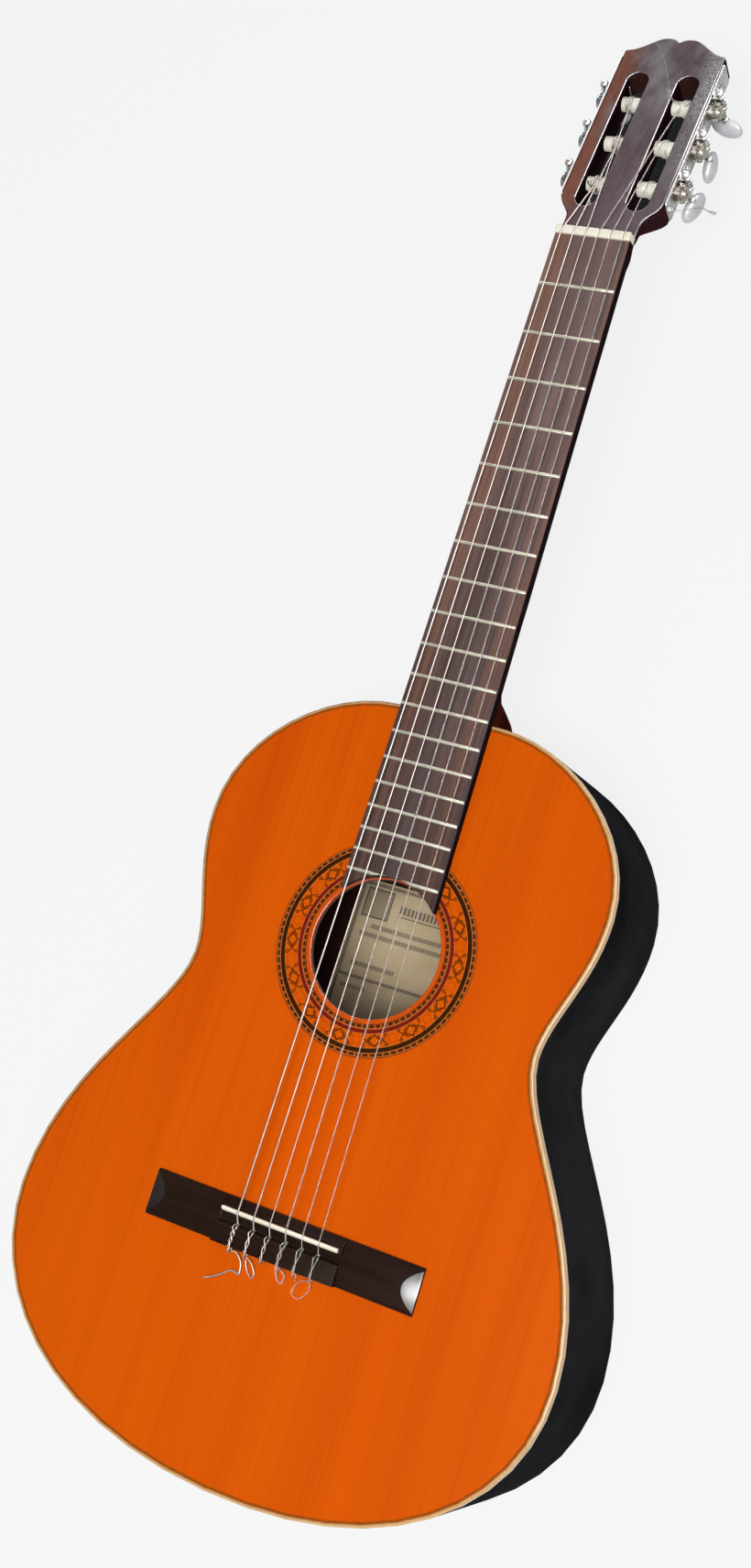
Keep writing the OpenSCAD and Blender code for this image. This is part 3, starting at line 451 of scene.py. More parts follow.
def label_finish():
    """Aged paper with a checkered border and rule, blank bars of print and a blank panel."""
    f = Finish("label_paper", specular_ior_level=0.2)
    x, y, z = f.axes()
    half_w, half_h, middle = 60.0, 47.0, -7.0
    edge_x = f.calc("SUBTRACT", half_w, f.calc("ABSOLUTE", f.calc("SUBTRACT", x, middle)))
    edge_y = f.calc("SUBTRACT", half_h, f.calc("ABSOLUTE", y))
    edge = f.calc("MINIMUM", edge_x, edge_y)
    border_from, border_to, square = 1.4, 3.6, 1.1
    rule_y, rule_half = -18.4, 1.1
    rule = f.calc("ABSOLUTE", f.calc("SUBTRACT", y, rule_y))

    def strip(value, low, high):
        return f.calc("MULTIPLY", f.calc("GREATER_THAN", value, low), f.calc("LESS_THAN", value, high))

    inside = f.calc("GREATER_THAN", edge, border_from)
    ruled = f.calc("MULTIPLY", f.calc("LESS_THAN", rule, rule_half), inside)
    zone = f.calc("MAXIMUM", strip(edge, border_from, border_to), ruled)
    squares = f.put("TexChecker", {"Vector": f.place, "Scale": 1.0 / (square * MM)}).outputs["Fac"]
    ink = f.calc("MULTIPLY", zone, f.calc("ADD", f.calc("MULTIPLY", squares, 0.6), 0.35))
    # Blank bars of print: middle Y, half height, first X, last X and the share of ink in each
    bars = ((32.0, 2.6, -34.5, 40.0, 0.62), (27.6, 0.4, -34.0, 40.0, 1.0), (16.8, 1.5, -51.0, 36.0, 0.66),
            (10.6, 1.5, -58.5, 36.0, 0.66), (-9.6, 1.5, -58.0, -25.0, 0.66), (-25.4, 1.3, -60.0, -42.0, 0.55))
    for middle_y, tall, first, last, share in bars:
        row = f.calc("LESS_THAN", f.calc("ABSOLUTE", f.calc("SUBTRACT", y, middle_y)), tall)
        broken = f.calc("LESS_THAN", f.calc("FRACT", f.calc("DIVIDE", x, 1.1 * tall)), share)
        bar = f.calc("MULTIPLY", f.calc("MULTIPLY", row, strip(x, first, last)), broken)
        ink = f.calc("MAXIMUM", ink, f.calc("MULTIPLY", bar, 0.8))
    panel = f.calc("MULTIPLY", strip(x, -61.0, -41.0), strip(y, 22.0, 42.0))
    frame_line = f.calc("MULTIPLY", strip(x, -59.8, -42.2), strip(y, 23.2, 40.8))
    panel_ink = f.calc("SUBTRACT", f.calc("MULTIPLY", panel, 0.85), f.calc("MULTIPLY", frame_line, 0.4))
    ink = f.calc("MAXIMUM", ink, panel_ink)
    stain = f.noise((30.0, 30.0, 30.0), 5.0, 0.6)
    paper = f.ramp(stain, [(0.3, (0.48, 0.365, 0.21)), (0.7, (0.61, 0.495, 0.32))])
    f.colour(f.blend(ink, paper, (0.07, 0.06, 0.055)))
    f.rough(stain, 0.7, 0.9)
    f.relief(f.noise((1500.0, 1500.0, 200.0), 3.0), 0.01)
    return f


def plain(name, colour, tone_shift, waves, low, high, relief=0.01, **sockets):
    """A finish whose tone and roughness change over its surface, with a number of waves per metre."""
    f = Finish(name, **sockets)
    patch = f.noise((waves, waves, waves), 4.0, 0.6)
    f.colour(f.ramp(patch, [(0.3, tone_shift), (0.65, colour)]))
    f.rough(patch, low, high)
    f.relief(f.noise((waves * 12, waves * 12, waves * 12), 2.0), relief)
    return f


def head_finish():
    """Gloss face of the head: red-brown at the bass edge and grey-purple elsewhere with painted sheen, and a
    pale haze towards the treble edge and the far end that is partly wear and partly painted sheen.
    """
    f = Finish("head_face", specular_ior_level=0.01)
    x, y, z = f.axes()
    grain = f.noise((520.0, 10.0, 520.0), 5.0, 0.6)
    cloud = f.noise((40.0, 22.0, 40.0), 3.0, 0.55)
    speck = f.noise((900.0, 900.0, 900.0), 3.0, 0.7)
    half = 36.0
    across = f.calc("DIVIDE", f.calc("ADD", x, half), 2.0 * half)
    shifted = f.calc("ADD", across, f.calc("MULTIPLY", f.calc("SUBTRACT", cloud, 0.5), 0.16))
    # Across the face from the bass edge: red-brown wood, then grey-purple with painted sheen
    tone = f.ramp(shifted, [(0.06, (0.235, 0.095, 0.064)), (0.17, (0.165, 0.092, 0.086)),
                            (0.27, (0.138, 0.100, 0.112)), (0.8, (0.146, 0.112, 0.124))])
    lines = f.ramp(grain, [(0.35, (0.84, 0.8, 0.82)), (0.6, (1.05, 1.05, 1.05))])
    face_tone_and_sheen = f.blend(1.0, tone, lines, "MULTIPLY")
    # Pale haze towards the treble edge and the far end, from specks and clouds: partly wear, partly painted
    # sheen
    edge = f.remap(x, 20.0, 32.0)
    reach = f.remap(y, 510.0, 600.0)
    far = f.ramp(reach, [(0.06, (0.05, 0.05, 0.05)), (0.33, (0.36, 0.36, 0.36)),
                         (0.7, (0.36, 0.36, 0.36)), (0.93, (1.0, 1.0, 1.0))])
    grit = f.remap(speck, 0.4, 0.62)
    haze = f.calc("MULTIPLY", f.calc("MULTIPLY", edge, far), grit)
    tone_shift = f.remap(cloud, 0.45, 0.75, 0.0, 0.4)
    haze = f.calc("MAXIMUM", haze, f.calc("MULTIPLY", tone_shift, far))
    f.colour(f.blend(haze, face_tone_and_sheen, (0.56, 0.57, 0.58)))
    f.rough(speck, 0.14, 0.34)
    f.relief(speck, 0.008)
    return f


def board_finish():
    """Oiled rosewood: purple-brown with fine dark pores and red-brown streaks."""
    f = Finish("fingerboard_wood", specular_ior_level=0.01)
    grain = f.noise((700.0, 9.0, 700.0), 5.0, 0.6)
    streak = f.noise((70.0, 4.0, 70.0), 3.0, 0.5, (3.1, 1.7, 0.4))
    warm = f.noise((150.0, 3.2, 60.0), 2.0, 0.5, (0.7, 4.2, 0.9))
    both = f.calc("ADD", f.calc("MULTIPLY", grain, 0.5), f.calc("MULTIPLY", streak, 0.5))
    tone = f.ramp(both, [(0.36, (0.062, 0.042, 0.042)), (0.62, (0.146, 0.102, 0.101))])
    red = f.ramp(grain, [(0.3, (0.137, 0.069, 0.050)), (0.65, (0.247, 0.126, 0.088))])
    x, y, z = f.axes()
    side = f.remap(f.calc("ABSOLUTE", x), 5.0, 15.0, 0.2, 1.0)
    share = f.calc("MULTIPLY", f.remap(warm, 0.42, 0.62, 0.0, 0.8), side)
    # Darker towards the body end and lighter towards the nut
    tone_shift = f.remap(y, 40.0, 360.0, 0.56, 1.2)
    f.colour(f.blend(1.0, f.blend(share, tone, red), tone_shift, "MULTIPLY"))
    f.rough(streak, 0.45, 0.6)
    f.relief(grain, 0.03)
    return f


def wound_finish():
    """Metal winding over a core, with a fine rib for each turn."""
    f = Finish("wound_string", metallic=0.7)
    x, y, z = f.axes()
    turn = f.calc("FRACT", f.calc("DIVIDE", y, WINDING_PITCH))
    rib = f.calc("ABSOLUTE", f.calc("SUBTRACT", turn, 0.5))
    tarnish = f.noise((300.0, 60.0, 300.0), 4.0, 0.6)
    bare = f.ramp(tarnish, [(0.3, (0.27, 0.235, 0.21)), (0.65, (0.46, 0.405, 0.37))])
    # The grooves between the turns are darker: painted shade
    f.colour(f.blend(1.0, bare, f.ramp(rib, [(0.0, (1.0, 1.0, 1.0)), (0.5, (0.6, 0.6, 0.6))]), "MULTIPLY"))
    f.rough(tarnish, 0.36, 0.5)
    f.relief(rib, -0.03)
    return f


AMBER_TOP = soundboard_finish()
ROSETTE = rosette_finish()
RIM_TOP = wood("hole_rim", (0.50, 0.060, 0.002), (0.58, 0.085, 0.006), (400.0, 6.0, 400.0), (60.0, 2.0, 60.0),
               specular_ior_level=0.03)
RIM_EDGE = wood("hole_edge", (0.44, 0.045, 0.004), (0.54, 0.070, 0.008), (400.0, 6.0, 400.0),
                (60.0, 2.0, 60.0), low=0.12, high=0.2, specular_ior_level=0.8)
LABEL = label_finish()
BLACK_SIDE = plain("black_lacquer", (0.025, 0.025, 0.028), (0.008, 0.008, 0.009), 9.0, 0.4, 0.55, 0.003,
                   specular_ior_level=0.0)
BINDING = wood("maple_binding", (0.57, 0.32, 0.12), (0.71, 0.44, 0.185), (300.0, 12.0, 300.0),
               (60.0, 8.0, 60.0), 0.006, 0.16, 0.28, specular_ior_level=0.35)
PURFLING_TAN = plain("purfling_tan", (0.52, 0.31, 0.15), (0.40, 0.22, 0.10), 200.0, 0.3, 0.4,
                     specular_ior_level=0.0)
PURFLING_BROWN = plain("purfling_brown", (0.34, 0.075, 0.006), (0.26, 0.055, 0.005), 200.0, 0.3, 0.4,
                       specular_ior_level=0.0)
INNER_WOOD = wood("raw_inner_wood", (0.10, 0.035, 0.02), (0.17, 0.07, 0.04), (400.0, 8.0, 400.0),
                  (40.0, 3.0, 40.0), 0.02, 0.7, 0.9, specular_ior_level=0.2)
BACK_WOOD = wood("rosewood_back", (0.012, 0.004, 0.003), (0.03, 0.010, 0.008), (500.0, 7.0, 500.0),
                 (50.0, 2.0, 50.0), 0.01, 0.35, 0.5, specular_ior_level=0.15)
NECK_WOOD = wood("red_neck_wood", (0.030, 0.0055, 0.003), (0.075, 0.014, 0.007), (420.0, 9.0, 420.0),
                 (46.0, 3.0, 46.0), 0.01, 0.2, 0.32, specular_ior_level=0.0)
HEAD_WOOD = wood("head_side_wood", (0.020, 0.007, 0.009), (0.045, 0.014, 0.018), (420.0, 9.0, 420.0),
                 (46.0, 3.0, 46.0), 0.01, 0.2, 0.32, specular_ior_level=0.0)
HEAD_RIM = wood("head_rim", (0.075, 0.022, 0.016), (0.13, 0.042, 0.03), (420.0, 9.0, 420.0),
                (46.0, 3.0, 46.0), 0.01, 0.3, 0.4, specular_ior_level=0.0)
SLOT_END = wood("slot_end", (0.026, 0.010, 0.0085), (0.052, 0.020, 0.016), (420.0, 9.0, 420.0),
                (46.0, 3.0, 46.0), 0.01, 0.4, 0.5, specular_ior_level=0.0)
# Near-black copy of the slot wood for the long walls inside the slots: painted shade
SLOT_WALL_SHADE = wood("slot_wall_shade", (0.010, 0.004, 0.006), (0.020, 0.008, 0.011), (420.0, 9.0, 420.0),
                 (46.0, 3.0, 46.0), 0.01, 0.4, 0.5, specular_ior_level=0.0)
HEAD_FACE = head_finish()
HEAD_EDGE = plain("polished_edge", (0.09, 0.06, 0.07), (0.06, 0.035, 0.04), 60.0, 0.1, 0.2, 0.003,
                  specular_ior_level=1.0)
BOARD_WOOD = board_finish()
# Darker copy of the fingerboard wood for its sides: painted shade
BOARD_SIDE_SHADE = plain("fingerboard_side_shade", (0.020, 0.012, 0.015), (0.010, 0.006, 0.008), 60.0, 0.4, 0.5,
                   specular_ior_level=0.0)
BRIDGE_WOOD = wood("bridge_wood", (0.0095, 0.0042, 0.0028), (0.022, 0.0105, 0.0065), (8.0, 500.0, 500.0),
                   (4.0, 60.0, 60.0), 0.02, 0.28, 0.4, specular_ior_level=0.03)
BRIDGE_EDGE = plain("bridge_polish", (0.022, 0.013, 0.013), (0.012, 0.007, 0.007), 60.0, 0.1, 0.2, 0.004,
                    specular_ior_level=0.5)
# Pale grey copy of the bridge wood for the treble wing's sloping end: painted sheen, with real gloss as well
WING_SHEEN = plain("bridge_treble_end_sheen", (0.11, 0.10, 0.10), (0.07, 0.06, 0.06), 60.0, 0.2, 0.28, 0.004,
                   specular_ior_level=1.0)
# Grey copy of the bridge wood without gloss for the bass wing's sloping end: painted reflection
BASS_END_REFLECTION = plain("bridge_bass_end_reflection", (0.032, 0.026, 0.026), (0.022, 0.017, 0.017), 60.0, 0.4, 0.5, 0.004,
                 specular_ior_level=0.0)
IVORY = plain("ivory", (0.94, 0.915, 0.78), (0.86, 0.81, 0.64), 60.0, 0.3, 0.45, specular_ior_level=0.4)
ROLLER_IVORY = plain("roller_ivory", (0.94, 0.92, 0.82), (0.86, 0.82, 0.68), 90.0, 0.3, 0.45,
                     specular_ior_level=0.4)
NICKEL = plain("worn_nickel", (0.44, 0.44, 0.43), (0.19, 0.185, 0.175), 110.0, 0.2, 0.34, 0.001, metallic=1.0)
# Near-white copy of the nickel for the plates' top edges: painted highlight, on a metal that also reflects
# for real
PLATE_EDGE_HIGHLIGHT = plain("nickel_edge_highlight", (0.97, 0.97, 0.96), (0.9, 0.9, 0.89), 220.0, 0.12, 0.22, 0.003,
                   metallic=1.0)
# Darker grey metal for the bass side's gears than the treble side's brass
DARKER_BASS_COG = plain("darker_bass_cog_metal", (0.30, 0.30, 0.30), (0.07, 0.07, 0.07), 400.0, 0.16, 0.26, 0.004,
                  metallic=1.0)
COG_BRASS = plain("dull_brass", (0.34, 0.31, 0.27), (0.12, 0.105, 0.09), 260.0, 0.25, 0.4, 0.004,
                  metallic=1.0)
FRET_METAL = plain("fret_metal", (0.53, 0.515, 0.42), (0.385, 0.37, 0.30), 160.0, 0.22, 0.36, 0.004,
                   metallic=0.8)
PEARL = plain("pearl_button", (0.66, 0.67, 0.69), (0.52, 0.53, 0.56), 90.0, 0.16, 0.28,
              specular_ior_level=0.5)
NYLON = plain("clear_nylon", (0.64, 0.615, 0.585), (0.55, 0.53, 0.50), 90.0, 0.15, 0.25,
              transmission_weight=0.75, ior=1.15)
NYLON_TURNS = plain("nylon_turns", (0.90, 0.885, 0.80), (0.82, 0.80, 0.71), 90.0, 0.25, 0.35,
                    specular_ior_level=0.4)
WOUND = wound_finish()
STRING_END = plain("dull_string_end", (0.33, 0.35, 0.35), (0.22, 0.24, 0.24), 300.0, 0.3, 0.4,
                   specular_ior_level=0.3)


# Body

def outward(face):
    """True for the faces on the outer side of a rim."""
    away = face.center - BODY_MIDDLE * MM
    return abs(face.normal.z) < 0.5 and face.normal.dot(Vector((away.x, away.y, 0.0))) > 0


def round_outer_edge(piece, level, width):
    """Rounds the outer edge of a rim at one height."""
    rim = set()
    for face in piece.data.polygons:
        if outward(face):
            for key in face.edge_keys:
                if all(abs(piece.data.vertices[v].co.z - level * MM) < FLUSH * MM for v in key):
                    rim.add(key)
    edit(piece)
    leave()
    for edge in piece.data.edges:
        edge.select = edge.key in rim
    bpy.ops.object.mode_set(mode="EDIT")
    bpy.ops.mesh.bevel(offset=width * MM, segments=6, affect="EDGES", clamp_overlap=True)
    leave()
    smooth(piece, 40)


def build_body():
    """Plates, sides, edges, rosette and label, and the wood inside."""
    top = dress("soundboard", "top_plate", AMBER_TOP)
    pick_edges(top, lambda p: p.xy.length < (HOLE_R + 0.2) * MM and p.z > (TOP_Z - FLUSH) * MM)
    bpy.ops.mesh.bevel(offset=HOLE_ROUND * MM, segments=4, affect="EDGES")
    leave()
    smooth(top, 40)
    points = top.data.vertices

    def near_hole(face):
        return all(points[v].co.xy.length < (HOLE_R + HOLE_RIM) * MM for v in face.vertices)

    paint(top, RIM_TOP, lambda face: near_hole(face) and face.normal.z > 0.98)
    paint(top, RIM_EDGE, lambda face: near_hole(face) and abs(face.normal.z) <= 0.98)
    dress("rosette", "rosette_ring", ROSETTE)
    for node, name in (("side_bass", "bass_side"), ("side_treble", "treble_side")):
        band_side(dress(node, name, BLACK_SIDE, angle=30))
    dress("back", "back_plate", BACK_WOOD)
    top_edge = dress("top_binding", "top_edge", BINDING, angle=30)
    round_outer_edge(top_edge, TOP_Z, EDGE_ROUND)
    edge = dress("back_binding", "back_edge", BLACK_SIDE, angle=30)
    round_outer_edge(edge, 0.0, EDGE_ROUND)
    line_edge(top_edge, dress("top_purfling", "top_border", AMBER_TOP))
    dress("label", "paper_label", LABEL)
    for node in ("top_lining", "back_lining", "neck_block", "tail_block", "fan_braces", "harmonic_bars",
                 "soundhole_patch", "back_braces", "back_strip"):
        NODES[node].data.materials.clear()
        NODES[node].data.materials.append(INNER_WOOD.material)


def line_edge(ring, border):
    """Fine brown and tan lines round the top, the tan one running over its edge on the bass side."""

    def bass(face):
        return face.normal.x < 0.1 and face.center.x < 0 and face.center.y > TAN_END * MM

    paint(ring, PURFLING_TAN, lambda face: face.normal.z > (TAN_LINE if bass(face) else FLAT_LINE))
    paint(border, PURFLING_BROWN, lambda face: face.normal.z > TAN_LINE)


def band_side(side):
    """Carries the pale band of the binding down to its lower edge."""
    edit(side)
    bpy.ops.mesh.select_all(action="SELECT")
    bpy.ops.mesh.bisect(plane_co=(0.0, 0.0, BAND_LEVEL * MM), plane_no=(0.0, 0.0, 1.0))
    leave()
    paint(side, BINDING, lambda face: face.center.z > BAND_LEVEL * MM)
    smooth(side, 30)


# Neck and head

def in_slot(face):
    """True for the walls inside the slots of the head."""
    along = SLOT_NEAR * MM < face.center.y < SLOT_FAR * MM
    return along and abs(face.center.x) < (SLOT_OUT + 0.1) * MM and abs(face.normal.z) < 0.3


def straight(face):
    """True for the long flat walls of a slot, apart from its rounded ends."""
    return abs(face.normal.x) > 0.97


def on_bass_edge(face):
    """True for the outer edge of the head's face on the bass side."""
    beside_nut = face.center.y < SLOT_NEAR * MM and face.center.x < 0
    return abs(face.normal.z) < 0.98 and (beside_nut or face.center.x < -HEAD_EDGE_X * MM)


def eased_share(share):
    """A share from nothing to one that starts and ends softly."""
    return share * share * (3.0 - 2.0 * share)


def carve(piece, tilt, rise):
    """Pulls in the lower corners near the nut, from the neck's round back to the head's square one."""
    c, s = math.cos(tilt), math.sin(tilt)
    for vertex in piece.data.vertices:
        back, lift = vertex.co.y / MM - NECK_END[0], vertex.co.z / MM - NECK_END[1]
        along = back * c - lift * s
        depth = back * rise - (back * s + lift * c)
        if not (-CARVE_BACK < along < CARVE_IN and CARVE_SKIN < depth < CARVE_REACH * CARVE_DEPTH):
            continue
        share = eased_share(min(1.0, 1.0 - along / CARVE_IN))
        inside = max(0.0, 1.0 - (depth / CARVE_DEPTH) ** CARVE_POWER)
        round_half = NUT_HALF * inside ** (1.0 / CARVE_POWER)
        wide = abs(vertex.co.x) / MM
        if wide > round_half:
            vertex.co.x = math.copysign((wide + (round_half - wide) * share) * MM, vertex.co.x)
    smooth(piece, 40)


def hollow(piece):
    """Narrows the heel's flanks in front of its foot."""
    for vertex in piece.data.vertices:
        y, below = vertex.co.y / MM, HOLLOW_TOP - vertex.co.z / MM
        if HOLLOW_FROM < y < HOLLOW_END and below > 0:
            start = (y - HOLLOW_FROM) / (HOLLOW_FULL - HOLLOW_FROM)
            end = (HOLLOW_END - y) / (HOLLOW_END - HOLLOW_FULL)
            share = min(1.0, start, end) * min(1.0, below / HOLLOW_DEPTH)
            vertex.co.x *= 1.0 - HOLLOW_SHARE * eased_share(share)
    smooth(piece, 50)


def build_neck():
    """Neck, head, fingerboard, frets, nut, saddle and bridge."""
    shaft = dress("neck", "neck_shaft", NECK_WOOD, angle=50)
    carve(shaft, 0.0, NECK_RISE)
    hollow(shaft)
    dress("heel_cap", "heel_plate", NECK_WOOD, angle=50)
    head = dress("headstock", "head_wood", HEAD_WOOD, 0.35, corner=50, angle=40)
    edit(head)
    for depth in HEAD_CUTS:
        bpy.ops.mesh.select_all(action="SELECT")
        bpy.ops.mesh.bisect(plane_co=head_point(0.0, 0.0, -depth) * MM, plane_no=HEAD_UP)
    leave()
    carve(head, HEAD_TILT, 0.0)
    plate = dress("head_veneer", "head_plate", HEAD_FACE, 1.9, 4, corner=60, angle=40, edge=HEAD_EDGE)
    paint(plate, HEAD_RIM, on_bass_edge)
    paint(plate, HEAD_WOOD, lambda face: face.center.x > HEAD_EDGE_X * MM and face.normal.dot(HEAD_UP) < 0.4)
    for piece in (head, plate):
        paint(piece, SLOT_END, lambda face: in_slot(face) and not straight(face))
        # The long walls inside the slots take the painted shade
        paint(piece, SLOT_WALL_SHADE, lambda face: in_slot(face) and straight(face))
    board = dress("fingerboard", "fingerboard_plate", BOARD_WOOD, 0.3, corner=50, angle=40)
    # The board's sides take the painted shade
    paint(board, BOARD_SIDE_SHADE, lambda face: abs(face.normal.x) > 0.8)
    dress("frets", "fret_wires", FRET_METAL, 0.25, corner=70, angle=40)
    nut = dress("nut", "nut_block", IVORY, 0.5, 3, corner=40, angle=40)
    for vertex in nut.data.vertices:
        if vertex.co.y < (NUT_FRONT + 0.6) * MM and vertex.co.z > BOARD_TOP * MM:
            vertex.co.y -= NUT_LIP * MM
    dress("saddle", "saddle_bar", IVORY, 0.35, 3, corner=40, angle=40)
    bridge = dress("bridge", "bridge_block", BRIDGE_WOOD, 0.35, 3, corner=40, angle=40, edge=BRIDGE_EDGE)
    # Painted sheen on the treble wing's sloping end, painted reflection on the bass wing's
    paint(bridge, WING_SHEEN, lambda face: 0.1 < face.normal.x < 0.4 and face.normal.z > 0.9)
    paint(bridge, BASS_END_REFLECTION, lambda face: -0.4 < face.normal.x < -0.1 and face.normal.z > 0.9)


def in_head(place):
    """A place in the guitar's frame, measured in the tilted head from the end of the neck."""
    back, lift = place.y / MM - NECK_END[0], place.z / MM - NECK_END[1]
    c, s = math.cos(HEAD_TILT), math.sin(HEAD_TILT)
    return Vector((place.x / MM, back * c - lift * s, back * s + lift * c))


def head_point(x, y, z):
    """A place in the tilted head, measured from the end of the neck, in the guitar's frame."""
    c, s = math.cos(HEAD_TILT), math.sin(HEAD_TILT)
    return Vector((x, NECK_END[0] + y * c + z * s, NECK_END[1] - y * s + z * c))


def roller_y(i):
    """Place of a string's roller along the head."""
    return FIRST_ROLLER + ROLLER_PITCH * (i - 1 if i <= 3 else 6 - i)


def side_of(i):
    """The side of a string's machine: 1 for treble, -1 for bass."""
    return 1 if i <= 3 else -1


def build_machines():
    """Plates, screws, rollers, gears, worms and buttons."""
    bass = dress("tuner_plate_bass", "bass_machine_plate", NICKEL, 0.2, corner=40, angle=40)
    treble = dress("tuner_plate_treble", "treble_machine_plate", NICKEL, 0.2, corner=40, angle=40)
    for vertex in bass.data.vertices:
        if in_head(vertex.co).z > PLATE_TOP - 0.5:
            vertex.co += PLATE_LIP * MM * HEAD_UP
    # The plates' upward faces and the bass plate's raised lip take the painted highlight
    for plate in (bass, treble):
        paint(plate, PLATE_EDGE_HIGHLIGHT, lambda face: face.normal.dot(HEAD_UP) > 0.5)
    paint(bass, PLATE_EDGE_HIGHLIGHT, lambda face: in_head(face.center).z > PLATE_TOP - 1.0)
    dress("plate_screws", "machine_screws", NICKEL, 0.3, corner=60, angle=40)
    for i in range(1, 7):
        dress(f"roller_{i}", f"ivory_roller_{i}", ROLLER_IVORY, 0.4, 3, corner=60, angle=40)
        # The bass side's gears take the darker grey metal
        dress(f"gear_{i}", f"cog_{i}", COG_BRASS if i <= 3 else DARKER_BASS_COG, 0.12, corner=50, angle=40)
        dress(f"worm_{i}", f"worm_shaft_{i}", NICKEL, angle=40)
        build_button(i)


def build_button(i):
    """A flattened oval knob on a tapered collar."""
    bpy.ops.mesh.primitive_uv_sphere_add(segments=48, ring_count=24, radius=1.0)
    knob = bpy.context.object
    knob.name = f"oval_button_{i}"
    edit(knob)
    bpy.ops.mesh.select_all(action="SELECT")
    bpy.ops.transform.resize(value=tuple(BUTTON_FILL * size * MM for size in BUTTON_SIZE))
    leave()
    smooth(knob, 60)
    bpy.ops.mesh.primitive_cone_add(vertices=32, radius1=COLLAR_WIDE * MM, radius2=COLLAR_SLIM * MM,
                                    depth=COLLAR_LONG * MM,
                                    location=(0, 0, (BUTTON_SIZE[2] / 2 - COLLAR_SINK) * MM))
    collar = bpy.context.object
    collar.name = f"button_collar_{i}"
    only(collar)
    bpy.ops.object.transform_apply(location=True)
    soften(collar, 0.5, 3, 40)
    smooth(collar, 40)
    place = (Matrix.Translation(head_point(side_of(i) * WORM_X, roller_y(i) + WORM_Y,
                                           -ROLLER_DEPTH - BUTTON_DROP) * MM)
             @ Matrix.Rotation(-HEAD_TILT, 4, "X")
             @ Matrix.Rotation(math.radians(BUTTON_ANGLE[i - 1]), 4, "Z"))
    for piece in (knob, collar):
        piece.data.transform(place)
    knob.data.materials.append(PEARL.material)
    settle(knob, f"button_{i}")
    collar.data.materials.append(NICKEL.material)
    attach(collar, f"key_{i}")


# Strings

def string_r(i):
    """Radius of a string."""
    return STRING_D[i - 1] / 2


def string_x(i, spread):
    """Place of a string across a row of six."""
    return spread * (3.5 - i) / 5


def eased(points, steps=6):
    """A smooth line through the points."""
    ends = [2 * points[0] - points[1], *points, 2 * points[-1] - points[-2]]
    line = []
    for a, b, c, d in zip(ends, ends[1:], ends[2:], ends[3:]):
        for k in range(steps):
            t = k / steps
            line.append(0.5 * ((2 * b) + (c - a) * t + (2 * a - 5 * b + 4 * c - d) * t * t
                               + (3 * b - a - 3 * c + d) * t ** 3))
    return [*line, points[-1]]


# Loose ends behind the bridge: places over the top, each X, Y and height
TAILS = {
    6: [(-28.6, -196.2, 105.6), (-24.6, -196.8, 103.2), (-20.8, -201.6, 101.6), (-20.2, -208.2, 101.2),
        (-25.0, -207.2, 101.4), (-32.0, -212.2, 101.2), (-36.6, -215.0, 101.0), (-41.4, -217.2, 101.0)],
    5: [(-17.8, -196.2, 105.2), (-13.6, -199.2, 103.0), (-10.2, -204.8, 101.6), (-12.0, -207.4, 101.3),
        (-15.9, -203.4, 101.8), (-17.6, -198.6, 103.0)],
    4: [(-5.0, -195.8, 105.6)],
    3: [(3.6, -196.0, 105.4), (7.2, -197.0, 103.4), (9.2, -199.8, 101.8), (8.2, -204.0, 101.4),
        (5.0, -202.4, 101.8), (3.4, -197.8, 102.8)],
    2: [(17.6, -196.2, 105.2), (17.0, -199.6, 103.0)],
    1: [(27.6, -196.4, 105.0), (20.8, -198.0, 102.4), (16.6, -204.0, 101.5), (17.2, -207.6, 101.2),
        (22.2, -208.4, 101.2), (26.6, -202.2, 101.6), (26.6, -197.4, 102.6)],
}


def knot_line(i):
    """From the loose end back to the saddle: tail, twisted pair, eye, rear loop and hole."""
    r = string_r(i)
    x = string_x(i, SADDLE_SPREAD)
    height = TIE_TOP + STRING_GAP + r + PAIR_RISE
    rear, front = BRIDGE_REAR + 0.6, TIE_FRONT - 0.4

    def strand(s, sign):
        """A place along one of the two strands, which part towards the eye."""
        apart = PAIR_HALF + PAIR_PARTS * s
        turn = math.pi / 2 + sign * math.pi / 2 + math.tau * TWIST_TURNS[i] * s
        return Vector((x + apart * math.cos(turn), rear + (front - rear) * s,
                       height + PAIR_RISE * math.sin(turn)))

    steps = 14
    back = [strand(k / steps, 1) for k in range(steps + 1)]
    forth = [strand(k / steps, -1) for k in range(steps + 1)]
    tail = [Vector(p) for p in reversed(TAILS[i])]
    swing = back[-1].x - x
    side = 1.0 if swing >= 0 else -1.0
    eye = [Vector((x + side * 1.0, TIE_FRONT + 0.8, TIE_TOP - 0.4)),
           Vector((x + side * 0.9, TIE_FRONT + 1.4, TIE_HOLE + 0.9)),
           Vector((x, TIE_FRONT + 1.7, TIE_HOLE - 2 * r + 0.4)),
           Vector((x - side * 0.9, TIE_FRONT + 1.4, TIE_HOLE + 0.9)),
           Vector((x - side * 1.0, TIE_FRONT + 0.8, TIE_TOP - 0.4))]
    loop = []
    bend = (height - TIE_HOLE) / 2
    for k in range(1, 8):
        turn = math.pi / 2 + math.pi * k / 8
        loop.append(Vector((x, BRIDGE_REAR - r - STRING_GAP + bend * math.cos(turn),
                            TIE_HOLE + bend + bend * math.sin(turn))))
    hole = [Vector((x, BRIDGE_REAR, TIE_HOLE)), Vector((x, TIE_FRONT, TIE_HOLE))]
    return eased([*tail, *back, *eye, *reversed(forth), *loop, *hole], 4)


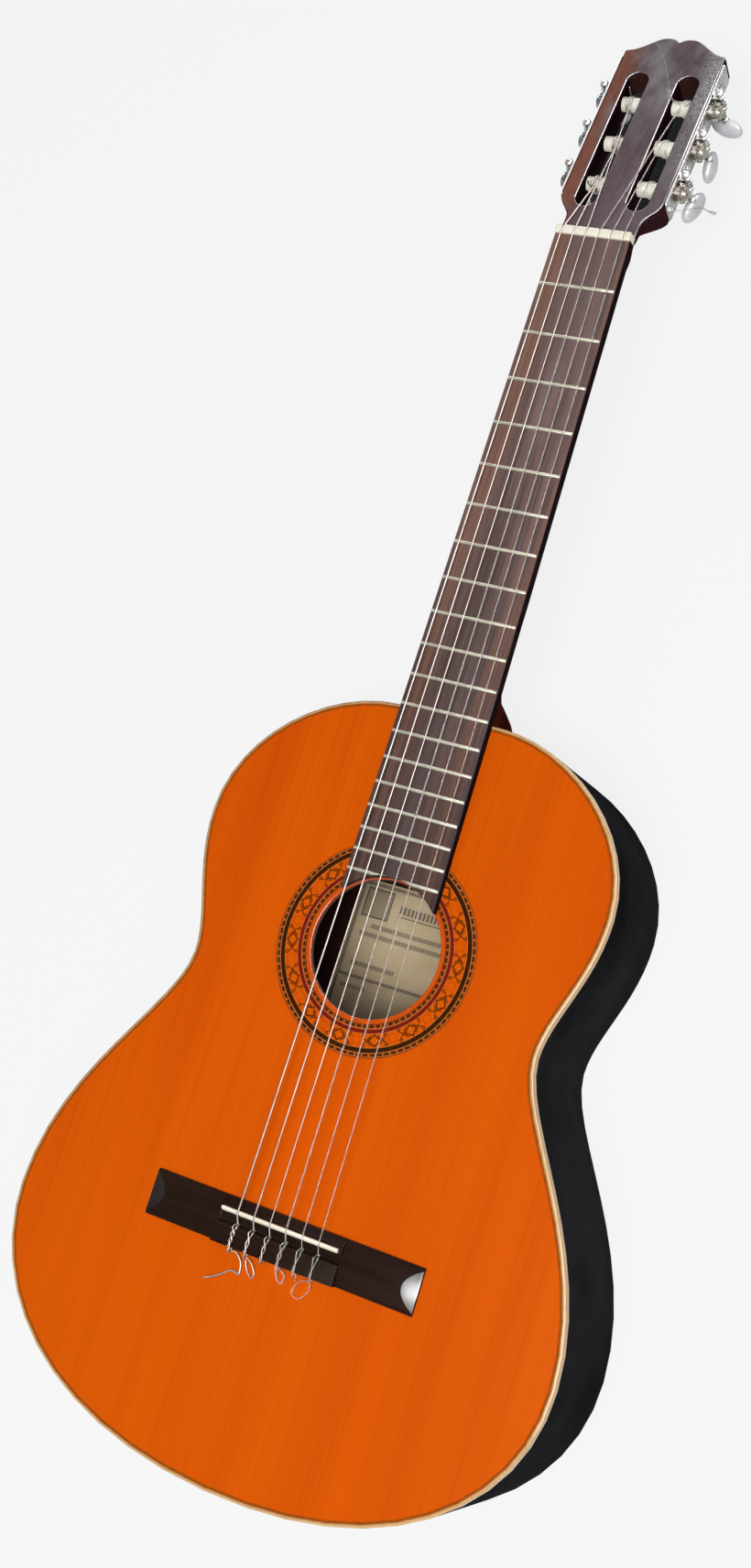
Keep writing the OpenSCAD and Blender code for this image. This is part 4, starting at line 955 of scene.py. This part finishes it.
def head_line(i):
    """From the nut to the last turn on the roller."""
    r = string_r(i)
    wound = ROLLER_R + STRING_GAP + r
    leave_y, leave_z = NUT_LEAVE[0] - NECK_END[0], NUT_LEAVE[1] + r + STRING_GAP - NECK_END[1]
    c, s = math.cos(HEAD_TILT), math.sin(HEAD_TILT)
    py = leave_y * c - leave_z * s - roller_y(i)
    pz = leave_y * s + leave_z * c + ROLLER_DEPTH
    first = math.atan2(pz, py) - math.acos(wound / math.hypot(py, pz))
    rings = 24
    line = []
    for k in range(rings * WIND_TURNS + 1):
        turn = first - math.tau * k / rings
        x = side_of(i) * (SLOT_X + LAND_OFFSET[i - 1] + (2 * r + WIND_SPACE) * k / rings)
        line.append(head_point(x, roller_y(i) + wound * math.cos(turn),
                               -ROLLER_DEPTH + wound * math.sin(turn)))
    return line


# Loose ends at the head: places in the tilted head, X, Y and height over its wood face
HEAD_TAILS = {
    3: [(22.0, 113.6, -0.8), (19.0, 112.0, 1.8), (13.4, 113.4, 3.4), (10.4, 117.0, 3.0), (6.4, 125.0, 2.8),
        (1.0, 136.4, 2.8), (-5.6, 148.3, 2.8), (-12.6, 158.8, 2.8), (-15.6, 162.4, 2.8)],
    1: [(24.0, 41.0, -14.0), (30.0, 41.0, -19.0), (40.0, 43.0, -20.0), (51.0, 45.5, -19.0),
        (57.0, 43.6, -18.6), (61.5, 41.4, -18.4), (63.4, 41.6, -18.4), (62.4, 42.8, -18.4),
        (58.5, 43.2, -18.5)],
    6: [(-20.4, 40.8, -3.6), (-21.6, 40.2, 0.6), (-21.0, 40.6, 3.2)],
    5: [(-18.4, 76.4, -4.4), (-18.8, 75.2, -8.0), (-19.4, 73.6, -13.0)],
    4: [(-21.6, 122.0, -6.0), (-21.8, 122.4, -2.0), (-21.6, 122.8, 2.0)],
    2: [(19.0, 76.4, -4.4), (19.6, 75.0, -9.0), (20.0, 73.0, -14.0)],
}


def build_string(i):
    """One string from its loose end at the bridge to its loose end at the head."""
    r = string_r(i)
    far = roller_y(3) + THIN_FROM
    saddle = Vector((string_x(i, SADDLE_SPREAD), SADDLE_Y + SADDLE_CREST, SADDLE_TOP + r + STRING_GAP))
    nut_x = string_x(i, NUT_SPREAD)
    nut = [Vector((nut_x, NUT_FRONT, NUT_LEAVE[1] + r + STRING_GAP)),
           Vector((nut_x, NUT_LEAVE[0], NUT_LEAVE[1] + r + STRING_GAP))]
    wound = head_line(i)
    end = eased([wound[-1], *(head_point(*p) for p in HEAD_TAILS[i])], 6)[1:]
    line = [*knot_line(i), saddle, *nut, *wound, *end]
    curve = bpy.data.curves.new(f"string_line_{i}", "CURVE")
    curve.dimensions = "3D"
    curve.bevel_depth = r * MM
    curve.bevel_resolution = 3
    curve.use_fill_caps = True
    spline = curve.splines.new("POLY")
    spline.points.add(len(line) - 1)
    for point, place in zip(spline.points, line):
        point.co = (*(place * MM), 1.0)
        point.radius = THIN_SHARE if i == 3 and in_head(place * MM).y > far else 1.0
    piece = bpy.data.objects.new(f"strung_{i}", curve)
    bpy.context.scene.collection.objects.link(piece)
    only(piece)
    bpy.ops.object.convert(target="MESH")
    piece = bpy.context.object
    smooth(piece, 60)
    piece.data.materials.append((NYLON if i <= 3 else WOUND).material)
    if i <= 3:
        axis = head_point(0.0, roller_y(i), -ROLLER_DEPTH).yz
        reach = ROLLER_R + 2 * STRING_GAP + 2 * r
        paint(piece, NYLON_TURNS, lambda face: (face.center.yz / MM - axis).length < reach)
        paint(piece, STRING_END,
              lambda face: in_head(face.center).y > far or face.center.x > END_BESIDE * MM)
    settle(piece, f"string_{i}")


# Stage

def add_lamp(name, place, target, size, power, length=(1.0, 0.0, 0.0)):
    """A flat lamp with its first size along a direction, turned to a target."""
    data = bpy.data.lights.new(name, "AREA")
    data.shape = "RECTANGLE"
    data.size, data.size_y = size
    data.energy = power
    lamp = bpy.data.objects.new(name, data)
    bpy.context.scene.collection.objects.link(lamp)
    back = (Vector(place) - Vector(target)).normalized()
    across = Vector(length)
    across = (across - across.dot(back) * back).normalized()
    turn = Matrix((across, back.cross(across), back)).transposed().to_4x4()
    lamp.matrix_world = Matrix.Translation(place) @ turn
    return lamp


FLOOR_R = 12.0
FLOOR_Z = -0.0006
FLOOR_GREY = (0.85, 0.85, 0.85, 1.0)
FLOOR_GLOW = 0.9
ROOM_LIGHT = 0.34
PAPER_WHITE = (0.932, 0.932, 0.932, 1.0)
# Colour of the painted shade on the floor under the head
GROUND_SHADE = (0.052, 0.058, 0.059, 1.0)
# Painted shade on the ground under the head: its middle, half sizes and lean, in millimetres
SHADE_PLACE = (-40.0, 609.0)
SHADE_HALF = (35.2, 60.0)
SHADE_LEAN = 0.107
# How square the shade is, and the shares of its half sizes between which it fades
SHADE_POWER = 10.0
SHADE_FROM = 0.96
SHADE_TO = 1.06


def pale(tree, lit, shown, share):
    """Mixes a shader with a plain pale glow for what the camera and mirrors see."""
    path = tree.put("LightPath").outputs
    seen = tree.calc("MAXIMUM", path["Is Camera Ray"], path["Is Glossy Ray"])
    seen = tree.calc("MAXIMUM", seen, path["Is Transmission Ray"])
    part = tree.calc("MULTIPLY", seen, share)
    return tree.put("MixShader", {0: part, 1: lit.outputs[0], 2: shown.outputs[0]})


def head_shade(tree):
    """Share of the painted shade on the floor under the head, seen through its slots."""
    x, y, z = tree.put("SeparateXYZ", {0: tree.put("TexCoord").outputs["Object"]}).outputs
    along = tree.calc("SUBTRACT", tree.calc("DIVIDE", y, MM), SHADE_PLACE[1])
    across = tree.calc("SUBTRACT", tree.calc("DIVIDE", x, MM), SHADE_PLACE[0])
    across = tree.calc("SUBTRACT", across, tree.calc("MULTIPLY", along, SHADE_LEAN))
    out_x = tree.calc("DIVIDE", tree.calc("ABSOLUTE", across), SHADE_HALF[0])
    out_y = tree.calc("DIVIDE", tree.calc("ABSOLUTE", along), SHADE_HALF[1])
    away = tree.calc("ADD", tree.calc("POWER", out_x, SHADE_POWER), tree.calc("POWER", out_y, SHADE_POWER))
    away = tree.calc("POWER", away, 1.0 / SHADE_POWER)
    return tree.remap(away, SHADE_FROM, SHADE_TO, 1.0, 0.0, interpolation_type="SMOOTHSTEP")


def floor_material():
    """Pale floor, clear from below, with painted shade under the head."""
    material = bpy.data.materials.new("pale_floor")
    tree = Tree(material)
    tree.nodes.clear()
    lit = tree.put("BsdfDiffuse", {"Color": FLOOR_GREY})
    shown = tree.put("Emission", {"Color": PAPER_WHITE})
    mixed = pale(tree, lit, shown, FLOOR_GLOW)
    # Painted shade under the head, mixed in by its share
    shaded = tree.put("BsdfDiffuse", {"Color": GROUND_SHADE})
    ground = tree.put("MixShader", {0: head_shade(tree), 1: mixed.outputs[0], 2: shaded.outputs[0]})
    under = tree.put("BsdfTransparent")
    below = tree.put("NewGeometry").outputs["Backfacing"]
    both = tree.put("MixShader", {0: below, 1: ground.outputs[0], 2: under.outputs[0]})
    tree.put("OutputMaterial", {"Surface": both.outputs[0]})
    return material


def build_stage():
    """Floor, room and lamps."""
    bpy.ops.mesh.primitive_circle_add(vertices=64, radius=FLOOR_R, fill_type="NGON", location=(0, 0, FLOOR_Z))
    floor = bpy.context.object
    floor.name = "pale_floor"
    floor.data.materials.append(floor_material())

    world = bpy.data.worlds.new("soft_room")
    bpy.context.scene.world = world
    tree = Tree(world)
    tree.nodes.clear()
    lit = tree.put("Background", {"Strength": ROOM_LIGHT})
    shown = tree.put("Background", {"Color": PAPER_WHITE})
    tree.put("OutputWorld", {"Surface": pale(tree, lit, shown, 1.0).outputs[0]})

    add_lamp("skylight", (0.2, -0.42, 2.0), (0.05, -0.1, 0.1), (0.6, 0.6), 16.0)
    add_lamp("soft_front", (0.55, -0.25, 1.6), (0.0, -0.05, 0.1), (0.7, 0.7), 14.0)
    # Window light that only shows as shine on lacquer and metal
    strip = add_lamp("window_strip", (0.9, 2.0, 0.8), (0.0, 0.5, 0.1), (1.6, 0.4), 40.0, (0.74, -0.14, -0.66))
    low = add_lamp("window_low", (-0.5, 2.4, 0.45), (0.0, 0.6, 0.1), (1.8, 0.22), 20.0)
    wall = add_lamp("window_wall", (1.7, 0.3, 1.15), (0.0, 0.3, 0.1), (3.0, 1.5), 190.0, (0.0, 1.0, 0.0))
    for lamp in (strip, low, wall):
        lamp.visible_diffuse = False


def build_camera():
    """The picture's view."""
    data = bpy.data.cameras.new("picture_view")
    data.sensor_fit = "VERTICAL"
    data.sensor_height = 36.0
    data.lens = data.sensor_height * FOCAL_PX / IMAGE_H
    data.shift_x = (IMAGE_W / 2 - CENTRE_PX[0]) / IMAGE_H
    data.shift_y = (CENTRE_PX[1] - IMAGE_H / 2) / IMAGE_H
    data.clip_start = 0.01
    camera = bpy.data.objects.new("picture_view", data)
    bpy.context.scene.collection.objects.link(camera)
    right, up = CAMERA_RIGHT, -CAMERA_DOWN
    back = right.cross(up)
    turn = Matrix((right, up, back)).transposed().to_4x4()
    camera.matrix_world = Matrix.Translation(CAMERA_PLACE) @ turn
    bpy.context.scene.camera = camera


build_camera()
build_stage()
build_body()
build_neck()
build_machines()
for number in range(1, 7):
    build_string(number)
